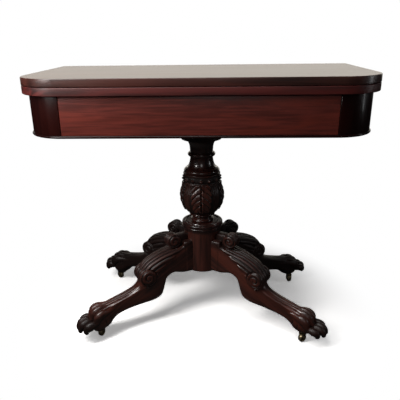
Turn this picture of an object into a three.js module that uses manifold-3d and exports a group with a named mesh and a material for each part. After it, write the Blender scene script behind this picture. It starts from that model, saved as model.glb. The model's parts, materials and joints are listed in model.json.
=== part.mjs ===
// A swivel-top pedestal card table in mahogany, drawn closed. Millimetres, +Z up.
// The origin is on the floor under the middle of the closed top. The long side runs
// along X and the front, where the leaves' corners are round, faces -Y.
// The stacked leaves turn a quarter turn on a bolt and then unfold like a book.

import * as THREE from 'three';
import { mergeVertices } from 'three/addons/utils/BufferGeometryUtils.js';
import Module from 'manifold-3d';

const wasm = await Module();
wasm.setup();

// Overall sizes and clearances
const tableWidth = 914;
const tableDepth = 457;
const tableHeight = 762;
const seatGap = 0.3;
const cutOverrun = 4;
const weldDistance = 0.0005;

// Leaves
const leafThickness = 20;
const leafGap = 1;
const leafCornerRadius = 117;
const leafEdgeRound = 1.6;
const leafOverhang = 16;
const leafBackOverhang = 10;

// Leaf hinges, let into the ends of the leaves
const hingeEyeRadius = 3.5;
const hingeEyeThickness = 1.1;
const hingePlateLength = 62;
const hingePlateHeight = 11;
const hingePinRadius = 1.3;

// Pivot of the swivelling top
const boltHeadRadius = 17;
const boltHeadThickness = 4;
const boltRadius = 6;
const boltEndLength = 5;
const washerRadius = 17;
const washerThickness = 3;
const nutRadius = 12;
const nutHeight = 11;
const nutSides = 6;

// Frame under the leaves
const railThickness = 22;
const railHeight = 97.6;
const beadHeight = 7;
const beadProud = 3.5;
const cornerRadius = 101;
const bearerLength = 230;
const bearerThickness = 28;
const wellBoardThickness = 9;
const dividerThickness = 18;
const pivotBoardWidth = 120;
const pivotBoardThickness = 25;
const glueBlockSide = 34;

// Turned column, from its top down
const capitalBlockSide = 150;
const capitalBlockHeight = 22;
const tenonRadius = 24;
const capRadius = 66;
const capFilletRadius = 62;
const flareRadius = 58;
const neckRadius = 34.8;
const neckRingRadius = 41;
const shoulderNeckRadius = 33.6;
const shoulderRadius = 56;
const bandRadius = 59;
const bulbRadius = 64.5;
const bulbTopRadius = 55;
const bulbFootRadius = 38;
const bulbWidestShare = 0.56;
const footRingRadius = 39.5;
const footNeckRadius = 31;
const footTorusRadius = 35.5;

// Stretches of the column from its foot up, each with its share of the column's length
const columnStretchShares = {
  footTorus: 8.9,
  footNeck: 9.5,
  footRing: 10,
  bulb: 99.5,
  band: 26,
  shoulder: 50,
  neckRing: 13,
  neck: 12,
  flare: 27.5,
  capFillet: 16.5,
  cap: 14,
};

// Disc between the column and the drum
const discRadius = 63;
const discThickness = 13;
const discFilletRadius = 60;
const discFilletHeight = 11;
const spigotRadius = 20;
const spigotDepth = 45;

// Drum that carries the legs
const drumRadius = 57.5;
const drumHeight = 131;
const drumUndersideLevel = 158;
const drumBottomDish = 4;
const drumDishShares = [0.5, 0.75];

// Legs, each in an upright plane through the column's axis
const legAngle = THREE.MathUtils.degToRad(30);
const legTipRadius = 417.5;
const legCrestLevel = 241;
const legHalfWidth = 28.5;
const soleLevel = 31;
const tongueWidth = 26;
const tongueFlare = 5;
const tongueDepth = 14;
const tongueHeight = 60;
const curlReach = 44;
const curlLevel = 265;
const curlRadius = 20;
const curlHalfWidth = 23;
const voluteReach = 134;
const voluteLevel = 172;
const voluteRadius = 27;
const voluteProud = 4.5;
const curlCrown = 6;
const toeCount = 4;
const toePitch = 17;
const toeRadius = 11.5;

// Casters
const casterReach = 353;
const wheelRadius = 13;
const wheelWidth = 12;
const wheelBoreGap = 0.3;
const wheelSideGap = 0.5;
const axleRadius = 2.2;
const casterTrail = 11;
const cheekThickness = 2.3;
const cheekHalfDepth = 5.5;
const crownThickness = 2.6;
const crownRadius = 11;
const crownGap = 1;
const stemRadius = 4;
const stemLength = 26;
const socketRadius = 14;
const socketThickness = 2.2;
const soleFlatRadius = 22;

// Facets of the round shapes
const cornerSteps = 12;
const columnSegments = 24;
const roundSegments = 20;
const smallSegments = 10;
const curveSteps = 4;
const sectionPoints = 14;
const toePoints = 8;

// Places worked out from the sizes above
const halfWidth = tableWidth / 2;
const frontEdge = -tableDepth / 2;
const foldAxisY = tableDepth / 2 - hingeEyeRadius;
const backEdge = foldAxisY - seatGap;
const upperLeafLevel = tableHeight - leafThickness;
const lowerLeafLevel = upperLeafLevel - leafGap - leafThickness;
const foldAxisLevel = upperLeafLevel - leafGap / 2;
const frameTop = lowerLeafLevel - seatGap;
const frameBottom = frameTop - railHeight;
const beadLevel = frameBottom - seatGap - beadHeight;
const frameHalfWidth = halfWidth - leafOverhang;
const frameFront = frontEdge + leafOverhang;
const frameBack = backEdge - leafBackOverhang;
const cornerX = frameHalfWidth - cornerRadius;
const cornerY = frameFront + cornerRadius;
const innerFront = frameFront + railThickness;
const innerBack = frameBack - railThickness;
const innerHalfWidth = frameHalfWidth - railThickness;
const pivotX = foldAxisY / 2;
const pivotY = foldAxisY / 2;
const drumTop = drumUndersideLevel + drumHeight;
const discLevel = drumTop + seatGap;
const discTop = discLevel + discThickness + discFilletHeight;
const columnFoot = discTop + seatGap;
const capitalLevel = frameBottom - seatGap - capitalBlockHeight;
const columnTop = capitalLevel - seatGap;
const bearerBack = innerBack - seatGap;
const bearerFront = innerFront + seatGap;
const bearerTop = frameBottom + bearerThickness;

// Finishes
const finishes = {
  leaf: new THREE.MeshStandardMaterial({ color: 0x4a211b, roughness: 0.3, metalness: 0 }),
  veneer: new THREE.MeshStandardMaterial({ color: 0x571f17, roughness: 0.26, metalness: 0 }),
  corner: new THREE.MeshStandardMaterial({ color: 0x3a1813, roughness: 0.26, metalness: 0 }),
  carved: new THREE.MeshStandardMaterial({ color: 0x35150f, roughness: 0.34, metalness: 0 }),
  pine: new THREE.MeshStandardMaterial({ color: 0xa87b4c, roughness: 0.75, metalness: 0 }),
  brass: new THREE.MeshStandardMaterial({ color: 0x9a7a3c, roughness: 0.35, metalness: 1 }),
  iron: new THREE.MeshStandardMaterial({ color: 0x3c3a38, roughness: 0.6, metalness: 1 }),
};

// Signed volume of an indexed mesh, negative where it is inside out
function signedVolume(positions, indices) {
  let sum = 0;
  const corners = [new THREE.Vector3(), new THREE.Vector3(), new THREE.Vector3()];
  for (let i = 0; i < indices.length; i += 3) {
    corners.forEach((corner, k) => corner.fromArray(positions, 3 * indices[i + k]));
    sum += corners[0].dot(corners[1].cross(corners[2]));
  }
  return sum / 6;
}

// A closed geometry as a solid that can be cut and joined
function solid(geometry) {
  const bare = geometry.clone();
  bare.deleteAttribute('normal');
  bare.deleteAttribute('uv');
  const welded = mergeVertices(bare, weldDistance);
  const positions = new Float32Array(welded.attributes.position.array);
  const kept = [];
  const index = welded.index.array;
  for (let i = 0; i < index.length; i += 3) {
    const [a, b, c] = [index[i], index[i + 1], index[i + 2]];
    if (a !== b && b !== c && c !== a) kept.push(a, b, c);
  }
  if (signedVolume(positions, kept) < 0) kept.reverse();
  const mesh = new wasm.Mesh({
    numProp: 3,
    vertProperties: positions,
    triVerts: new Uint32Array(kept),
  });
  return new wasm.Manifold(mesh);
}

// The solid's triangles as a geometry
function surface(manifold) {
  const mesh = manifold.getMesh();
  const geometry = new THREE.BufferGeometry();
  geometry.setAttribute('position', new THREE.BufferAttribute(mesh.vertProperties.slice(), 3));
  geometry.setIndex(new THREE.BufferAttribute(mesh.triVerts.slice(), 1));
  return geometry;
}

// One named piece of the table
function piece(name, shape, material) {
  const mesh = new THREE.Mesh(surface(shape), material);
  mesh.name = name;
  return mesh;
}

// A board between two opposite corners
function board(low, high) {
  const size = high.map((value, k) => value - low[k]);
  const middle = high.map((value, k) => (value + low[k]) / 2);
  const geometry = new THREE.BoxGeometry(...size);
  geometry.translate(...middle);
  return solid(geometry);
}

// An outline in plan, raised from one level to another
function raised(outline, low, high, bevel = 0) {
  const geometry = new THREE.ExtrudeGeometry(outline, {
    depth: high - low - 2 * bevel,
    bevelEnabled: bevel > 0,
    bevelSize: bevel,
    bevelThickness: bevel,
    bevelOffset: -bevel,
    bevelSegments: 2,
    curveSegments: cornerSteps,
  });
  geometry.translate(0, 0, low + bevel);
  return solid(geometry);
}

// A profile of [radius, level] points turned about the upright axis
function turned(profile, segments = columnSegments) {
  const points = profile.map(([radius, level]) => new THREE.Vector2(radius, level));
  const geometry = new THREE.LatheGeometry(points, segments);
  geometry.rotateX(Math.PI / 2);
  return solid(geometry);
}

// An upright round bar
function rod(radius, low, high, segments = smallSegments) {
  return turned([[0, low], [radius, low], [radius, high], [0, high]], segments);
}

// The same bar along X or Y instead of Z, through a given point
function crossRod(radius, length, axis, centre, segments = smallSegments) {
  const geometry = new THREE.CylinderGeometry(radius, radius, length, segments);
  if (axis === 'x') geometry.rotateZ(Math.PI / 2);
  geometry.translate(...centre);
  return solid(geometry);
}

// A skin through closed rings of points, with a point at each end
function loft(rings, firstPoint, lastPoint) {
  const count = rings[0].length;
  const positions = [];
  const indices = [];
  rings.flat().forEach((point) => positions.push(...point));
  const first = rings.length * count;
  const last = first + 1;
  positions.push(...firstPoint, ...lastPoint);
  for (let ring = 0; ring < rings.length - 1; ring += 1) {
    for (let k = 0; k < count; k += 1) {
      const a = ring * count + k;
      const b = ring * count + ((k + 1) % count);
      indices.push(a, b, b + count, a, b + count, a + count);
    }
  }
  for (let k = 0; k < count; k += 1) {
    const next = (k + 1) % count;
    indices.push(first, next, k);
    indices.push(last, (rings.length - 1) * count + k, (rings.length - 1) * count + next);
  }
  const geometry = new THREE.BufferGeometry();
  geometry.setAttribute('position', new THREE.Float32BufferAttribute(positions, 3));
  geometry.setIndex(indices);
  return solid(geometry);
}

// Plan outline with two round front corners and square back corners
function roundFrontOutline(halfX, front, back, radius) {
  const outline = new THREE.Shape();
  outline.moveTo(-halfX, back);
  outline.lineTo(-halfX, front + radius);
  outline.absarc(-halfX + radius, front + radius, radius, Math.PI, 1.5 * Math.PI, false);
  outline.lineTo(halfX - radius, front);
  outline.absarc(halfX - radius, front + radius, radius, 1.5 * Math.PI, 2 * Math.PI, false);
  outline.lineTo(halfX, back);
  outline.closePath();
  return outline;
}

// A quarter ring round the front right corner of the frame
function cornerOutline(inner, outer) {
  const outline = new THREE.Shape();
  outline.moveTo(cornerX + seatGap / 2, cornerY - outer);
  outline.absarc(cornerX, cornerY, outer, -Math.PI / 2 + seatGap / 2 / outer, -seatGap / 2 / outer, false);
  outline.lineTo(cornerX + inner, cornerY - seatGap / 2);
  outline.absarc(cornerX, cornerY, inner, -seatGap / 2 / inner, -Math.PI / 2 + seatGap / 2 / inner, true);
  outline.closePath();
  return outline;
}

// Mirror image of a solid in the plane X = 0
function mirrored(shape) {
  const geometry = surface(shape);
  geometry.scale(-1, 1, 1);
  return solid(geometry);
}

// Leaves, hinges and pivot

const hingeInner = halfWidth - 2 * hingeEyeThickness - seatGap / 2;
const hingeClearRadius = hingeEyeRadius + seatGap;

// Room round the right hinge's eye and for one plate, cut out of a leaf's end
function hingeRecess(plateLow, plateHigh) {
  const plate = board(
    [hingeInner - seatGap, foldAxisY - hingePlateLength - seatGap, plateLow - seatGap],
    [halfWidth + cutOverrun, foldAxisY + cutOverrun, plateHigh + seatGap],
  );
  const length = halfWidth + cutOverrun - hingeInner + seatGap;
  const middle = halfWidth + cutOverrun - length / 2;
  const eye = crossRod(hingeClearRadius, length, 'x', [middle, foldAxisY, foldAxisLevel]);
  return plate.add(eye);
}

// A hinge plate on the right: a strip let into the leaf's end, and half of the eye
function hingePlate(plateLow, plateHigh, eyeInner, eyeOuter) {
  const clearLength = halfWidth - hingeInner + 2 * cutOverrun;
  const clearMiddle = (halfWidth + hingeInner) / 2;
  const strip = board(
    [hingeInner, foldAxisY - hingePlateLength, plateLow],
    [halfWidth, foldAxisY - seatGap, plateHigh],
  ).subtract(crossRod(hingeClearRadius, clearLength, 'x', [clearMiddle, foldAxisY, foldAxisLevel]));
  const thickness = eyeOuter - eyeInner;
  const middle = (eyeOuter + eyeInner) / 2;
  const eye = crossRod(hingeEyeRadius, thickness, 'x', [middle, foldAxisY, foldAxisLevel]);
  const neckLow = Math.min(plateLow, foldAxisLevel);
  const neckHigh = Math.max(plateHigh, foldAxisLevel);
  const neck = board(
    [eyeInner, foldAxisY - 2 * hingeEyeRadius, neckLow],
    [eyeOuter, foldAxisY - hingeEyeRadius / 2, neckHigh],
  );
  const reach = board(
    [eyeInner, foldAxisY - 2 * hingeEyeRadius, plateLow],
    [eyeOuter, foldAxisY + hingeEyeRadius, plateHigh],
  );
  const pinHole = crossRod(hingePinRadius + seatGap / 2, clearLength, 'x',
    [clearMiddle, foldAxisY, foldAxisLevel]);
  const joined = strip.add(neck.intersect(reach.add(eye))).add(eye);
  return joined.subtract(pinHole);
}

function makeTop() {
  const group = new THREE.Group();
  const lowerPlateHigh = foldAxisLevel - leafGap / 2 - seatGap;
  const lowerPlateLow = lowerPlateHigh - hingePlateHeight;
  const upperPlateLow = foldAxisLevel + leafGap / 2 + seatGap;
  const upperPlateHigh = upperPlateLow + hingePlateHeight;
  const outline = roundFrontOutline(halfWidth, frontEdge, backEdge, leafCornerRadius);
  const lowerRecess = hingeRecess(lowerPlateLow, lowerPlateHigh);
  const upperRecess = hingeRecess(upperPlateLow, upperPlateHigh);
  const headTop = foldAxisLevel - leafGap / 2 - seatGap;
  const headBottom = headTop - boltHeadThickness;
  const washerTop = frameTop - pivotBoardThickness - seatGap;
  const nutTop = washerTop - washerThickness - seatGap;
  const boltBottom = nutTop - nutHeight - boltEndLength;
  const at = (shape) => shape.translate([pivotX, pivotY, 0]);

  const lowerLeaf = raised(outline, lowerLeafLevel, lowerLeafLevel + leafThickness, leafEdgeRound)
    .subtract(lowerRecess)
    .subtract(mirrored(lowerRecess))
    .subtract(at(rod(boltHeadRadius + seatGap, headBottom - seatGap, headTop + cutOverrun, roundSegments)))
    .subtract(at(rod(boltRadius + seatGap, lowerLeafLevel - cutOverrun, headTop, roundSegments)));
  group.add(piece('lower_leaf', lowerLeaf, finishes.leaf));

  const upperLeaf = raised(outline, upperLeafLevel, tableHeight, leafEdgeRound)
    .subtract(upperRecess)
    .subtract(mirrored(upperRecess));
  group.add(piece('upper_leaf', upperLeaf, finishes.leaf));

  const eyeSplit = hingeInner + hingeEyeThickness;
  const lowerPlate = hingePlate(lowerPlateLow, lowerPlateHigh, hingeInner, eyeSplit - seatGap / 2);
  const upperPlate = hingePlate(upperPlateLow, upperPlateHigh, eyeSplit, halfWidth);
  const pinLength = halfWidth - hingeInner;
  const pin = crossRod(hingePinRadius, pinLength, 'x',
    [(halfWidth + hingeInner) / 2, foldAxisY, foldAxisLevel]);
  group.add(piece('hinge_lower_plate_right', lowerPlate, finishes.brass));
  group.add(piece('hinge_upper_plate_right', upperPlate, finishes.brass));
  group.add(piece('hinge_pin_right', pin, finishes.brass));
  group.add(piece('hinge_lower_plate_left', mirrored(lowerPlate), finishes.brass));
  group.add(piece('hinge_upper_plate_left', mirrored(upperPlate), finishes.brass));
  group.add(piece('hinge_pin_left', mirrored(pin), finishes.brass));

  const bolt = turned([
    [0, boltBottom],
    [boltRadius, boltBottom],
    [boltRadius, headBottom],
    [boltHeadRadius, headBottom],
    [boltHeadRadius, headTop],
    [0, headTop],
  ], roundSegments);
  const boltClear = rod(boltRadius + seatGap, boltBottom - cutOverrun, frameTop, roundSegments);
  const washer = rod(washerRadius, washerTop - washerThickness, washerTop, roundSegments)
    .subtract(boltClear);
  const nut = rod(nutRadius, nutTop - nutHeight, nutTop, nutSides).subtract(boltClear);
  group.add(piece('pivot_bolt', at(bolt), finishes.iron));
  group.add(piece('pivot_washer', at(washer), finishes.iron));
  group.add(piece('pivot_nut', at(nut), finishes.iron));
  return group;
}

// Frame

// A bead's end section, from the rail's inner face to the round nose in front
function beadSection(depth) {
  const section = new THREE.Shape();
  const nose = beadHeight / 2;
  section.moveTo(0, 0);
  section.lineTo(depth - nose, 0);
  section.absarc(depth - nose, nose, nose, -Math.PI / 2, Math.PI / 2, false);
  section.lineTo(0, beadHeight);
  section.closePath();
  return section;
}

// A straight bead of a given length along X, its nose towards -Y, starting at Y = 0
function straightBead(length) {
  const geometry = new THREE.ExtrudeGeometry(beadSection(railThickness + beadProud), {
    depth: length,
    bevelEnabled: false,
    curveSegments: curveSteps,
  });
  geometry.translate(-railThickness, 0, -length / 2);
  geometry.rotateX(Math.PI / 2);
  geometry.rotateZ(-Math.PI / 2);
  return solid(geometry);
}

// The bead round the front right corner, turned about the corner's centre
function cornerBead() {
  const inner = cornerRadius - railThickness;
  const nose = beadHeight / 2;
  const outer = cornerRadius + beadProud - nose;
  const profile = [[inner, beadLevel]];
  for (let step = 0; step <= curveSteps; step += 1) {
    const angle = -Math.PI / 2 + (Math.PI * step) / curveSteps;
    profile.push([outer + nose * Math.cos(angle), beadLevel + nose + nose * Math.sin(angle)]);
  }
  profile.push([inner, beadLevel + beadHeight], [inner, beadLevel]);
  const ring = turned(profile, 4 * cornerSteps).translate([cornerX, cornerY, 0]);
  const reach = cornerRadius + beadProud + cutOverrun;
  const quarter = board(
    [cornerX + seatGap / 2, cornerY - reach, beadLevel - cutOverrun],
    [cornerX + reach, cornerY - seatGap / 2, frameBottom + cutOverrun],
  );
  return ring.intersect(quarter);
}

function makeFrame() {
  const group = new THREE.Group();
  const add = (name, shape, material) => group.add(piece(name, shape, material));

  const frontEnd = cornerX - seatGap / 2;
  const sideFront = cornerY + seatGap / 2;
  const frontRail = board([-frontEnd, frameFront, frameBottom], [frontEnd, innerFront, frameTop]);
  add('front_rail', frontRail, finishes.veneer);
  const rearEnd = innerHalfWidth - seatGap;
  const rearRail = board([-rearEnd, innerBack, frameBottom], [rearEnd, frameBack, frameTop]);
  add('rear_rail', rearRail, finishes.pine);
  const rightRail = board([innerHalfWidth, sideFront, frameBottom], [frameHalfWidth, frameBack, frameTop]);
  add('right_rail', rightRail, finishes.veneer);
  add('left_rail', mirrored(rightRail), finishes.veneer);
  const block = raised(cornerOutline(cornerRadius - railThickness, cornerRadius), frameBottom, frameTop);
  add('corner_block_right', block, finishes.corner);
  add('corner_block_left', mirrored(block), finishes.corner);

  const frontBead = straightBead(2 * frontEnd).translate([0, frameFront, beadLevel]);
  add('front_bead', frontBead, finishes.corner);
  add('corner_bead_right', cornerBead(), finishes.corner);
  add('corner_bead_left', mirrored(cornerBead()), finishes.corner);
  const sideBead = straightBead(frameBack - sideFront)
    .rotate([0, 0, 90])
    .translate([frameHalfWidth, (frameBack + sideFront) / 2, beadLevel]);
  add('side_bead_right', sideBead, finishes.corner);
  add('side_bead_left', mirrored(sideBead), finishes.corner);

  const holeLow = frameBottom - cutOverrun;
  const bearerHole = rod(tenonRadius + seatGap, holeLow, bearerTop + cutOverrun, columnSegments);
  const bearer = board(
    [-bearerLength / 2, bearerFront, frameBottom],
    [bearerLength / 2, bearerBack, bearerTop],
  ).subtract(bearerHole);
  add('column_bearer', bearer, finishes.pine);

  const wellRight = -bearerLength / 2 - seatGap;
  const wellOutline = new THREE.Shape();
  const wellRadius = cornerRadius - railThickness - seatGap;
  wellOutline.moveTo(wellRight, bearerFront);
  wellOutline.lineTo(wellRight, bearerBack);
  wellOutline.lineTo(-innerHalfWidth + seatGap, bearerBack);
  wellOutline.lineTo(-innerHalfWidth + seatGap, cornerY);
  wellOutline.absarc(-cornerX, cornerY, wellRadius, Math.PI, 1.5 * Math.PI, false);
  wellOutline.closePath();
  const wellTop = frameBottom + wellBoardThickness;
  add('well_board', raised(wellOutline, frameBottom, wellTop), finishes.pine);

  const dividerLeft = -bearerLength / 2 + seatGap;
  const divider = board(
    [dividerLeft, bearerFront, bearerTop + seatGap],
    [dividerLeft + dividerThickness, bearerBack, frameTop],
  );
  add('well_divider', divider, finishes.pine);

  const pivotBoardLow = frameTop - pivotBoardThickness;
  const pivotHole = rod(boltRadius + seatGap, holeLow, frameTop + cutOverrun, roundSegments)
    .translate([pivotX, pivotY, 0]);
  const pivotBoard = board(
    [pivotX - pivotBoardWidth / 2, bearerFront, pivotBoardLow],
    [pivotX + pivotBoardWidth / 2, bearerBack, frameTop],
  ).subtract(pivotHole);
  add('pivot_board', pivotBoard, finishes.pine);

  // The left block stands on the well board, and the right one is its mirror image
  const blockHigh = frameTop - leafThickness;
  const blockLow = wellTop + seatGap;
  const glueBlock = board(
    [innerHalfWidth - seatGap - glueBlockSide, bearerBack - glueBlockSide, blockLow],
    [innerHalfWidth - seatGap, bearerBack, blockHigh],
  );
  add('glue_block_right', glueBlock, finishes.pine);
  add('glue_block_left', mirrored(glueBlock), finishes.pine);
  return group;
}

// Column, disc and drum

// Points of a curve on the turning from one [radius, level] to another; a soft end
// leaves or arrives upright, and a hard end leaves or arrives level
function easedStretch([fromRadius, fromLevel], [toRadius, toLevel], softStart, softEnd) {
  const handle = (toLevel - fromLevel) / 2;
  const middleRadius = (fromRadius + toRadius) / 2;
  const softLeaving = new THREE.Vector2(fromRadius, fromLevel + handle);
  const hardLeaving = new THREE.Vector2(middleRadius, fromLevel);
  const softArriving = new THREE.Vector2(toRadius, toLevel - handle);
  const hardArriving = new THREE.Vector2(middleRadius, toLevel);
  const curve = new THREE.CubicBezierCurve(
    new THREE.Vector2(fromRadius, fromLevel),
    softStart ? softLeaving : hardLeaving,
    softEnd ? softArriving : hardArriving,
    new THREE.Vector2(toRadius, toLevel),
  );
  return curve.getPoints(curveSteps).map((point) => [point.x, point.y]);
}

// Points of a half-round ring on the turning, from its lower to its upper edge
function torusStretch(innerRadius, outerRadius, low, high) {
  const points = [];
  for (let step = 0; step <= curveSteps; step += 1) {
    const angle = -Math.PI / 2 + (Math.PI * step) / curveSteps;
    const radius = innerRadius + (outerRadius - innerRadius) * Math.cos(angle);
    points.push([radius, (low + high) / 2 + ((high - low) / 2) * Math.sin(angle)]);
  }
  return points;
}

// The level at which each stretch of the column starts
function stretchLevels() {
  const shareSum = Object.values(columnStretchShares).reduce((sum, share) => sum + share, 0);
  const low = {};
  Object.entries(columnStretchShares).reduce((level, [name, share]) => {
    low[name] = level;
    return level + ((columnTop - columnFoot) * share) / shareSum;
  }, columnFoot);
  return low;
}

function makeColumn() {
  const group = new THREE.Group();
  const low = stretchLevels();
  const bulbWidest = low.bulb + (low.band - low.bulb) * bulbWidestShare;
  const spigotLow = columnFoot - spigotDepth;
  const tenonTop = bearerTop - seatGap;

  const profile = [
    [0, spigotLow],
    [spigotRadius, spigotLow],
    [spigotRadius, columnFoot],
    ...torusStretch(footNeckRadius, footTorusRadius, low.footTorus, low.footNeck),
    ...torusStretch(footNeckRadius, footNeckRadius, low.footNeck, low.footRing),
    ...torusStretch(footNeckRadius, footRingRadius, low.footRing, low.bulb),
    ...easedStretch([bulbFootRadius, low.bulb], [bulbRadius, bulbWidest], false, true),
    ...easedStretch([bulbRadius, bulbWidest], [bulbTopRadius, low.band], true, true),
    ...torusStretch(bulbTopRadius, bandRadius, low.band, low.shoulder),
    ...easedStretch([shoulderRadius, low.shoulder], [shoulderNeckRadius, low.neckRing], false, true),
    ...torusStretch(shoulderNeckRadius, neckRingRadius, low.neckRing, low.neck),
    [neckRadius, low.neck],
    ...easedStretch([neckRadius, low.flare], [flareRadius, low.capFillet], true, false),
    [capFilletRadius, low.capFillet],
    [capFilletRadius, low.cap],
    [capRadius, (low.cap + columnTop) / 2],
    [capRadius, columnTop],
    [tenonRadius, columnTop],
    [tenonRadius, tenonTop],
    [0, tenonTop],
  ];
  const distinct = profile.filter((point, k) => {
    const before = profile[k - 1];
    return !before || Math.hypot(point[0] - before[0], point[1] - before[1]) > seatGap;
  });
  group.add(piece('column', turned(distinct), finishes.carved));

  const halfSide = capitalBlockSide / 2;
  const capital = board(
    [-halfSide, -halfSide, capitalLevel],
    [halfSide, halfSide, capitalLevel + capitalBlockHeight],
  );
  const tenonHole = rod(tenonRadius + seatGap, capitalLevel - cutOverrun, frameBottom, columnSegments);
  group.add(piece('capital_block', capital.subtract(tenonHole), finishes.corner));

  const spigotHole = rod(spigotRadius + seatGap, spigotLow - seatGap, discTop + cutOverrun, columnSegments);
  const rimLow = discLevel + discFilletHeight;
  const disc = turned([
    [0, discLevel],
    [discFilletRadius, discLevel],
    [discFilletRadius, rimLow],
    ...torusStretch(discFilletRadius, discRadius, rimLow, discTop).slice(1, -1),
    [discFilletRadius, discTop],
    [0, discTop],
  ]).subtract(spigotHole);
  group.add(piece('disc', disc, finishes.carved));

  const drum = turned([
    [0, drumUndersideLevel - drumBottomDish],
    [drumRadius * drumDishShares[0], drumUndersideLevel - drumBottomDish * drumDishShares[1]],
    [drumRadius, drumUndersideLevel],
    [drumRadius, drumTop],
    [0, drumTop],
  ]).subtract(spigotHole);
  const slotHigh = drumUndersideLevel + tongueHeight + seatGap;
  const slotted = legPlaces.reduce((body, place) => {
    const slot = raised(tongueOutline(seatGap), drumUndersideLevel - drumBottomDish - cutOverrun, slotHigh);
    return body.subtract(slot.rotate([0, 0, THREE.MathUtils.radToDeg(place.angle)]));
  }, drum);
  group.add(piece('drum', slotted, finishes.carved));
  return group;
}

// Legs

const legPlaces = [
  { side: 'front_right', angle: -legAngle, heading: -142 },
  { side: 'back_right', angle: legAngle, heading: -79 },
  { side: 'back_left', angle: Math.PI - legAngle, heading: 140 },
  { side: 'front_left', angle: Math.PI + legAngle, heading: 75 },
];

// Plan of the dovetail tongue on a leg's inner end, or of its slot with a margin
function tongueOutline(margin) {
  const inner = drumRadius - tongueDepth - margin;
  const narrow = tongueWidth / 2 + margin;
  const wide = narrow + tongueFlare;
  const outline = new THREE.Shape();
  outline.moveTo(inner, -wide);
  outline.lineTo(drumRadius + cutOverrun, -narrow);
  outline.lineTo(drumRadius + cutOverrun, narrow);
  outline.lineTo(inner, wide);
  outline.closePath();
  return outline;
}

// Stations along a leg: the upper and the lower outline as shares of the leg's reach
// and rise, the half width as a share of its own, and the section's boxiness
const legUndersideShare = 0.64;
const legStationShares = [
  { upper: [-0.05, 1.11], lower: [-0.05, legUndersideShare], width: 1, box: 7 },
  { upper: [0.06, 1.11], lower: [0.06, legUndersideShare], width: 1, box: 7 },
  { upper: [0.12, 1.05], lower: [0.115, 0.625], width: 1, box: 5 },
  { upper: [0.18, 0.965], lower: [0.16, 0.59], width: 1, box: 4.5 },
  { upper: [0.25, 0.94], lower: [0.2, 0.53], width: 1, box: 4 },
  { upper: [0.32, 0.92], lower: [0.225, 0.455], width: 1.02, box: 4 },
  { upper: [0.385, 0.86], lower: [0.24, 0.375], width: 1.02, box: 4 },
  { upper: [0.43, 0.765], lower: [0.262, 0.305], width: 1, box: 3.8 },
  { upper: [0.45, 0.665], lower: [0.302, 0.26], width: 0.95, box: 3.4 },
  { upper: [0.455, 0.575], lower: [0.357, 0.235], width: 0.86, box: 3.2 },
  { upper: [0.49, 0.51], lower: [0.43, 0.225], width: 0.76, box: 3 },
  { upper: [0.55, 0.455], lower: [0.51, 0.215], width: 0.7, box: 3 },
  { upper: [0.62, 0.415], lower: [0.588, 0.195], width: 0.68, box: 3 },
  { upper: [0.69, 0.385], lower: [0.655, 0.16], width: 0.72, box: 2.8 },
  { upper: [0.75, 0.365], lower: [0.695, 0.11], width: 0.84, box: 2.6 },
  { upper: [0.8, 0.345], lower: [0.73, 0.05], width: 0.98, box: 2.8 },
  { upper: [0.84, 0.32], lower: [0.78, 0.003], width: 1.05, box: 2.8 },
  { upper: [0.87, 0.26], lower: [0.83, 0.003], width: 1, box: 2.6 },
];

// Centre line and thickness of a toe, as shares of the reach, the rise and the toe's radius
const toeStationShares = [
  { reach: 0.75, rise: 0.28, size: 0.75 },
  { reach: 0.815, rise: 0.275, size: 1.02 },
  { reach: 0.86, rise: 0.225, size: 1 },
  { reach: 0.895, rise: 0.165, size: 0.95 },
  { reach: 0.93, rise: 0.12, size: 0.98 },
  { reach: 0.94, rise: 0.07, size: 0.7 },
];
const innerToeLeadShare = 0.03;
const outerToeDropShare = 0.035;
const toeDepthShare = 1.25;

const reachAt = (share) => drumRadius + share * (legTipRadius - drumRadius);
const levelAt = (share) => soleLevel + share * (legCrestLevel - soleLevel);

// One closed section of the leg: a superellipse between the two outlines
function legSection({ upper, lower, width, box }) {
  const high = [reachAt(upper[0]), levelAt(upper[1])];
  const low = [reachAt(lower[0]), levelAt(lower[1])];
  const ring = [];
  for (let k = 0; k < sectionPoints; k += 1) {
    const angle = (2 * Math.PI * k) / sectionPoints;
    const across = Math.sign(Math.cos(angle)) * Math.abs(Math.cos(angle)) ** (2 / box);
    const along = Math.sign(Math.sin(angle)) * Math.abs(Math.sin(angle)) ** (2 / box);
    const share = (1 + along) / 2;
    ring.push([
      low[0] + (high[0] - low[0]) * share,
      across * width * legHalfWidth,
      low[1] + (high[1] - low[1]) * share,
    ]);
  }
  return ring;
}

function middleOf(ring) {
  return [0, 1, 2].map((axis) => ring.reduce((sum, point) => sum + point[axis], 0) / ring.length);
}

// A toe: round sections along a bent line, set beside the leg's plane
function toe(number) {
  const place = number - (toeCount - 1) / 2;
  const outer = Math.abs(place) > 1;
  const side = place * toePitch;
  const lead = outer ? 0 : innerToeLeadShare;
  const drop = outer ? outerToeDropShare : 0;
  const points = toeStationShares.map(({ reach, rise }, k) => {
    const along = k / (toeStationShares.length - 1);
    return new THREE.Vector3(reachAt(reach + lead * along), side, levelAt(rise - drop * (1 - along)));
  });
  const rings = points.map((point, k) => {
    const before = points[Math.max(k - 1, 0)];
    const after = points[Math.min(k + 1, points.length - 1)];
    const along = after.clone().sub(before).normalize();
    const normal = new THREE.Vector3(-along.z, 0, along.x);
    const radius = toeRadius * toeStationShares[k].size;
    return Array.from({ length: toePoints }, (_, j) => {
      const angle = (2 * Math.PI * j) / toePoints;
      const up = radius * toeDepthShare * Math.sin(angle);
      return [
        point.x + normal.x * up,
        point.y + radius * Math.cos(angle),
        point.z + normal.z * up,
      ];
    });
  });
  const tip = points[points.length - 1];
  return loft(rings, points[0].toArray(), [tip.x, tip.y, tip.z - toeRadius / 4]);
}

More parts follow.
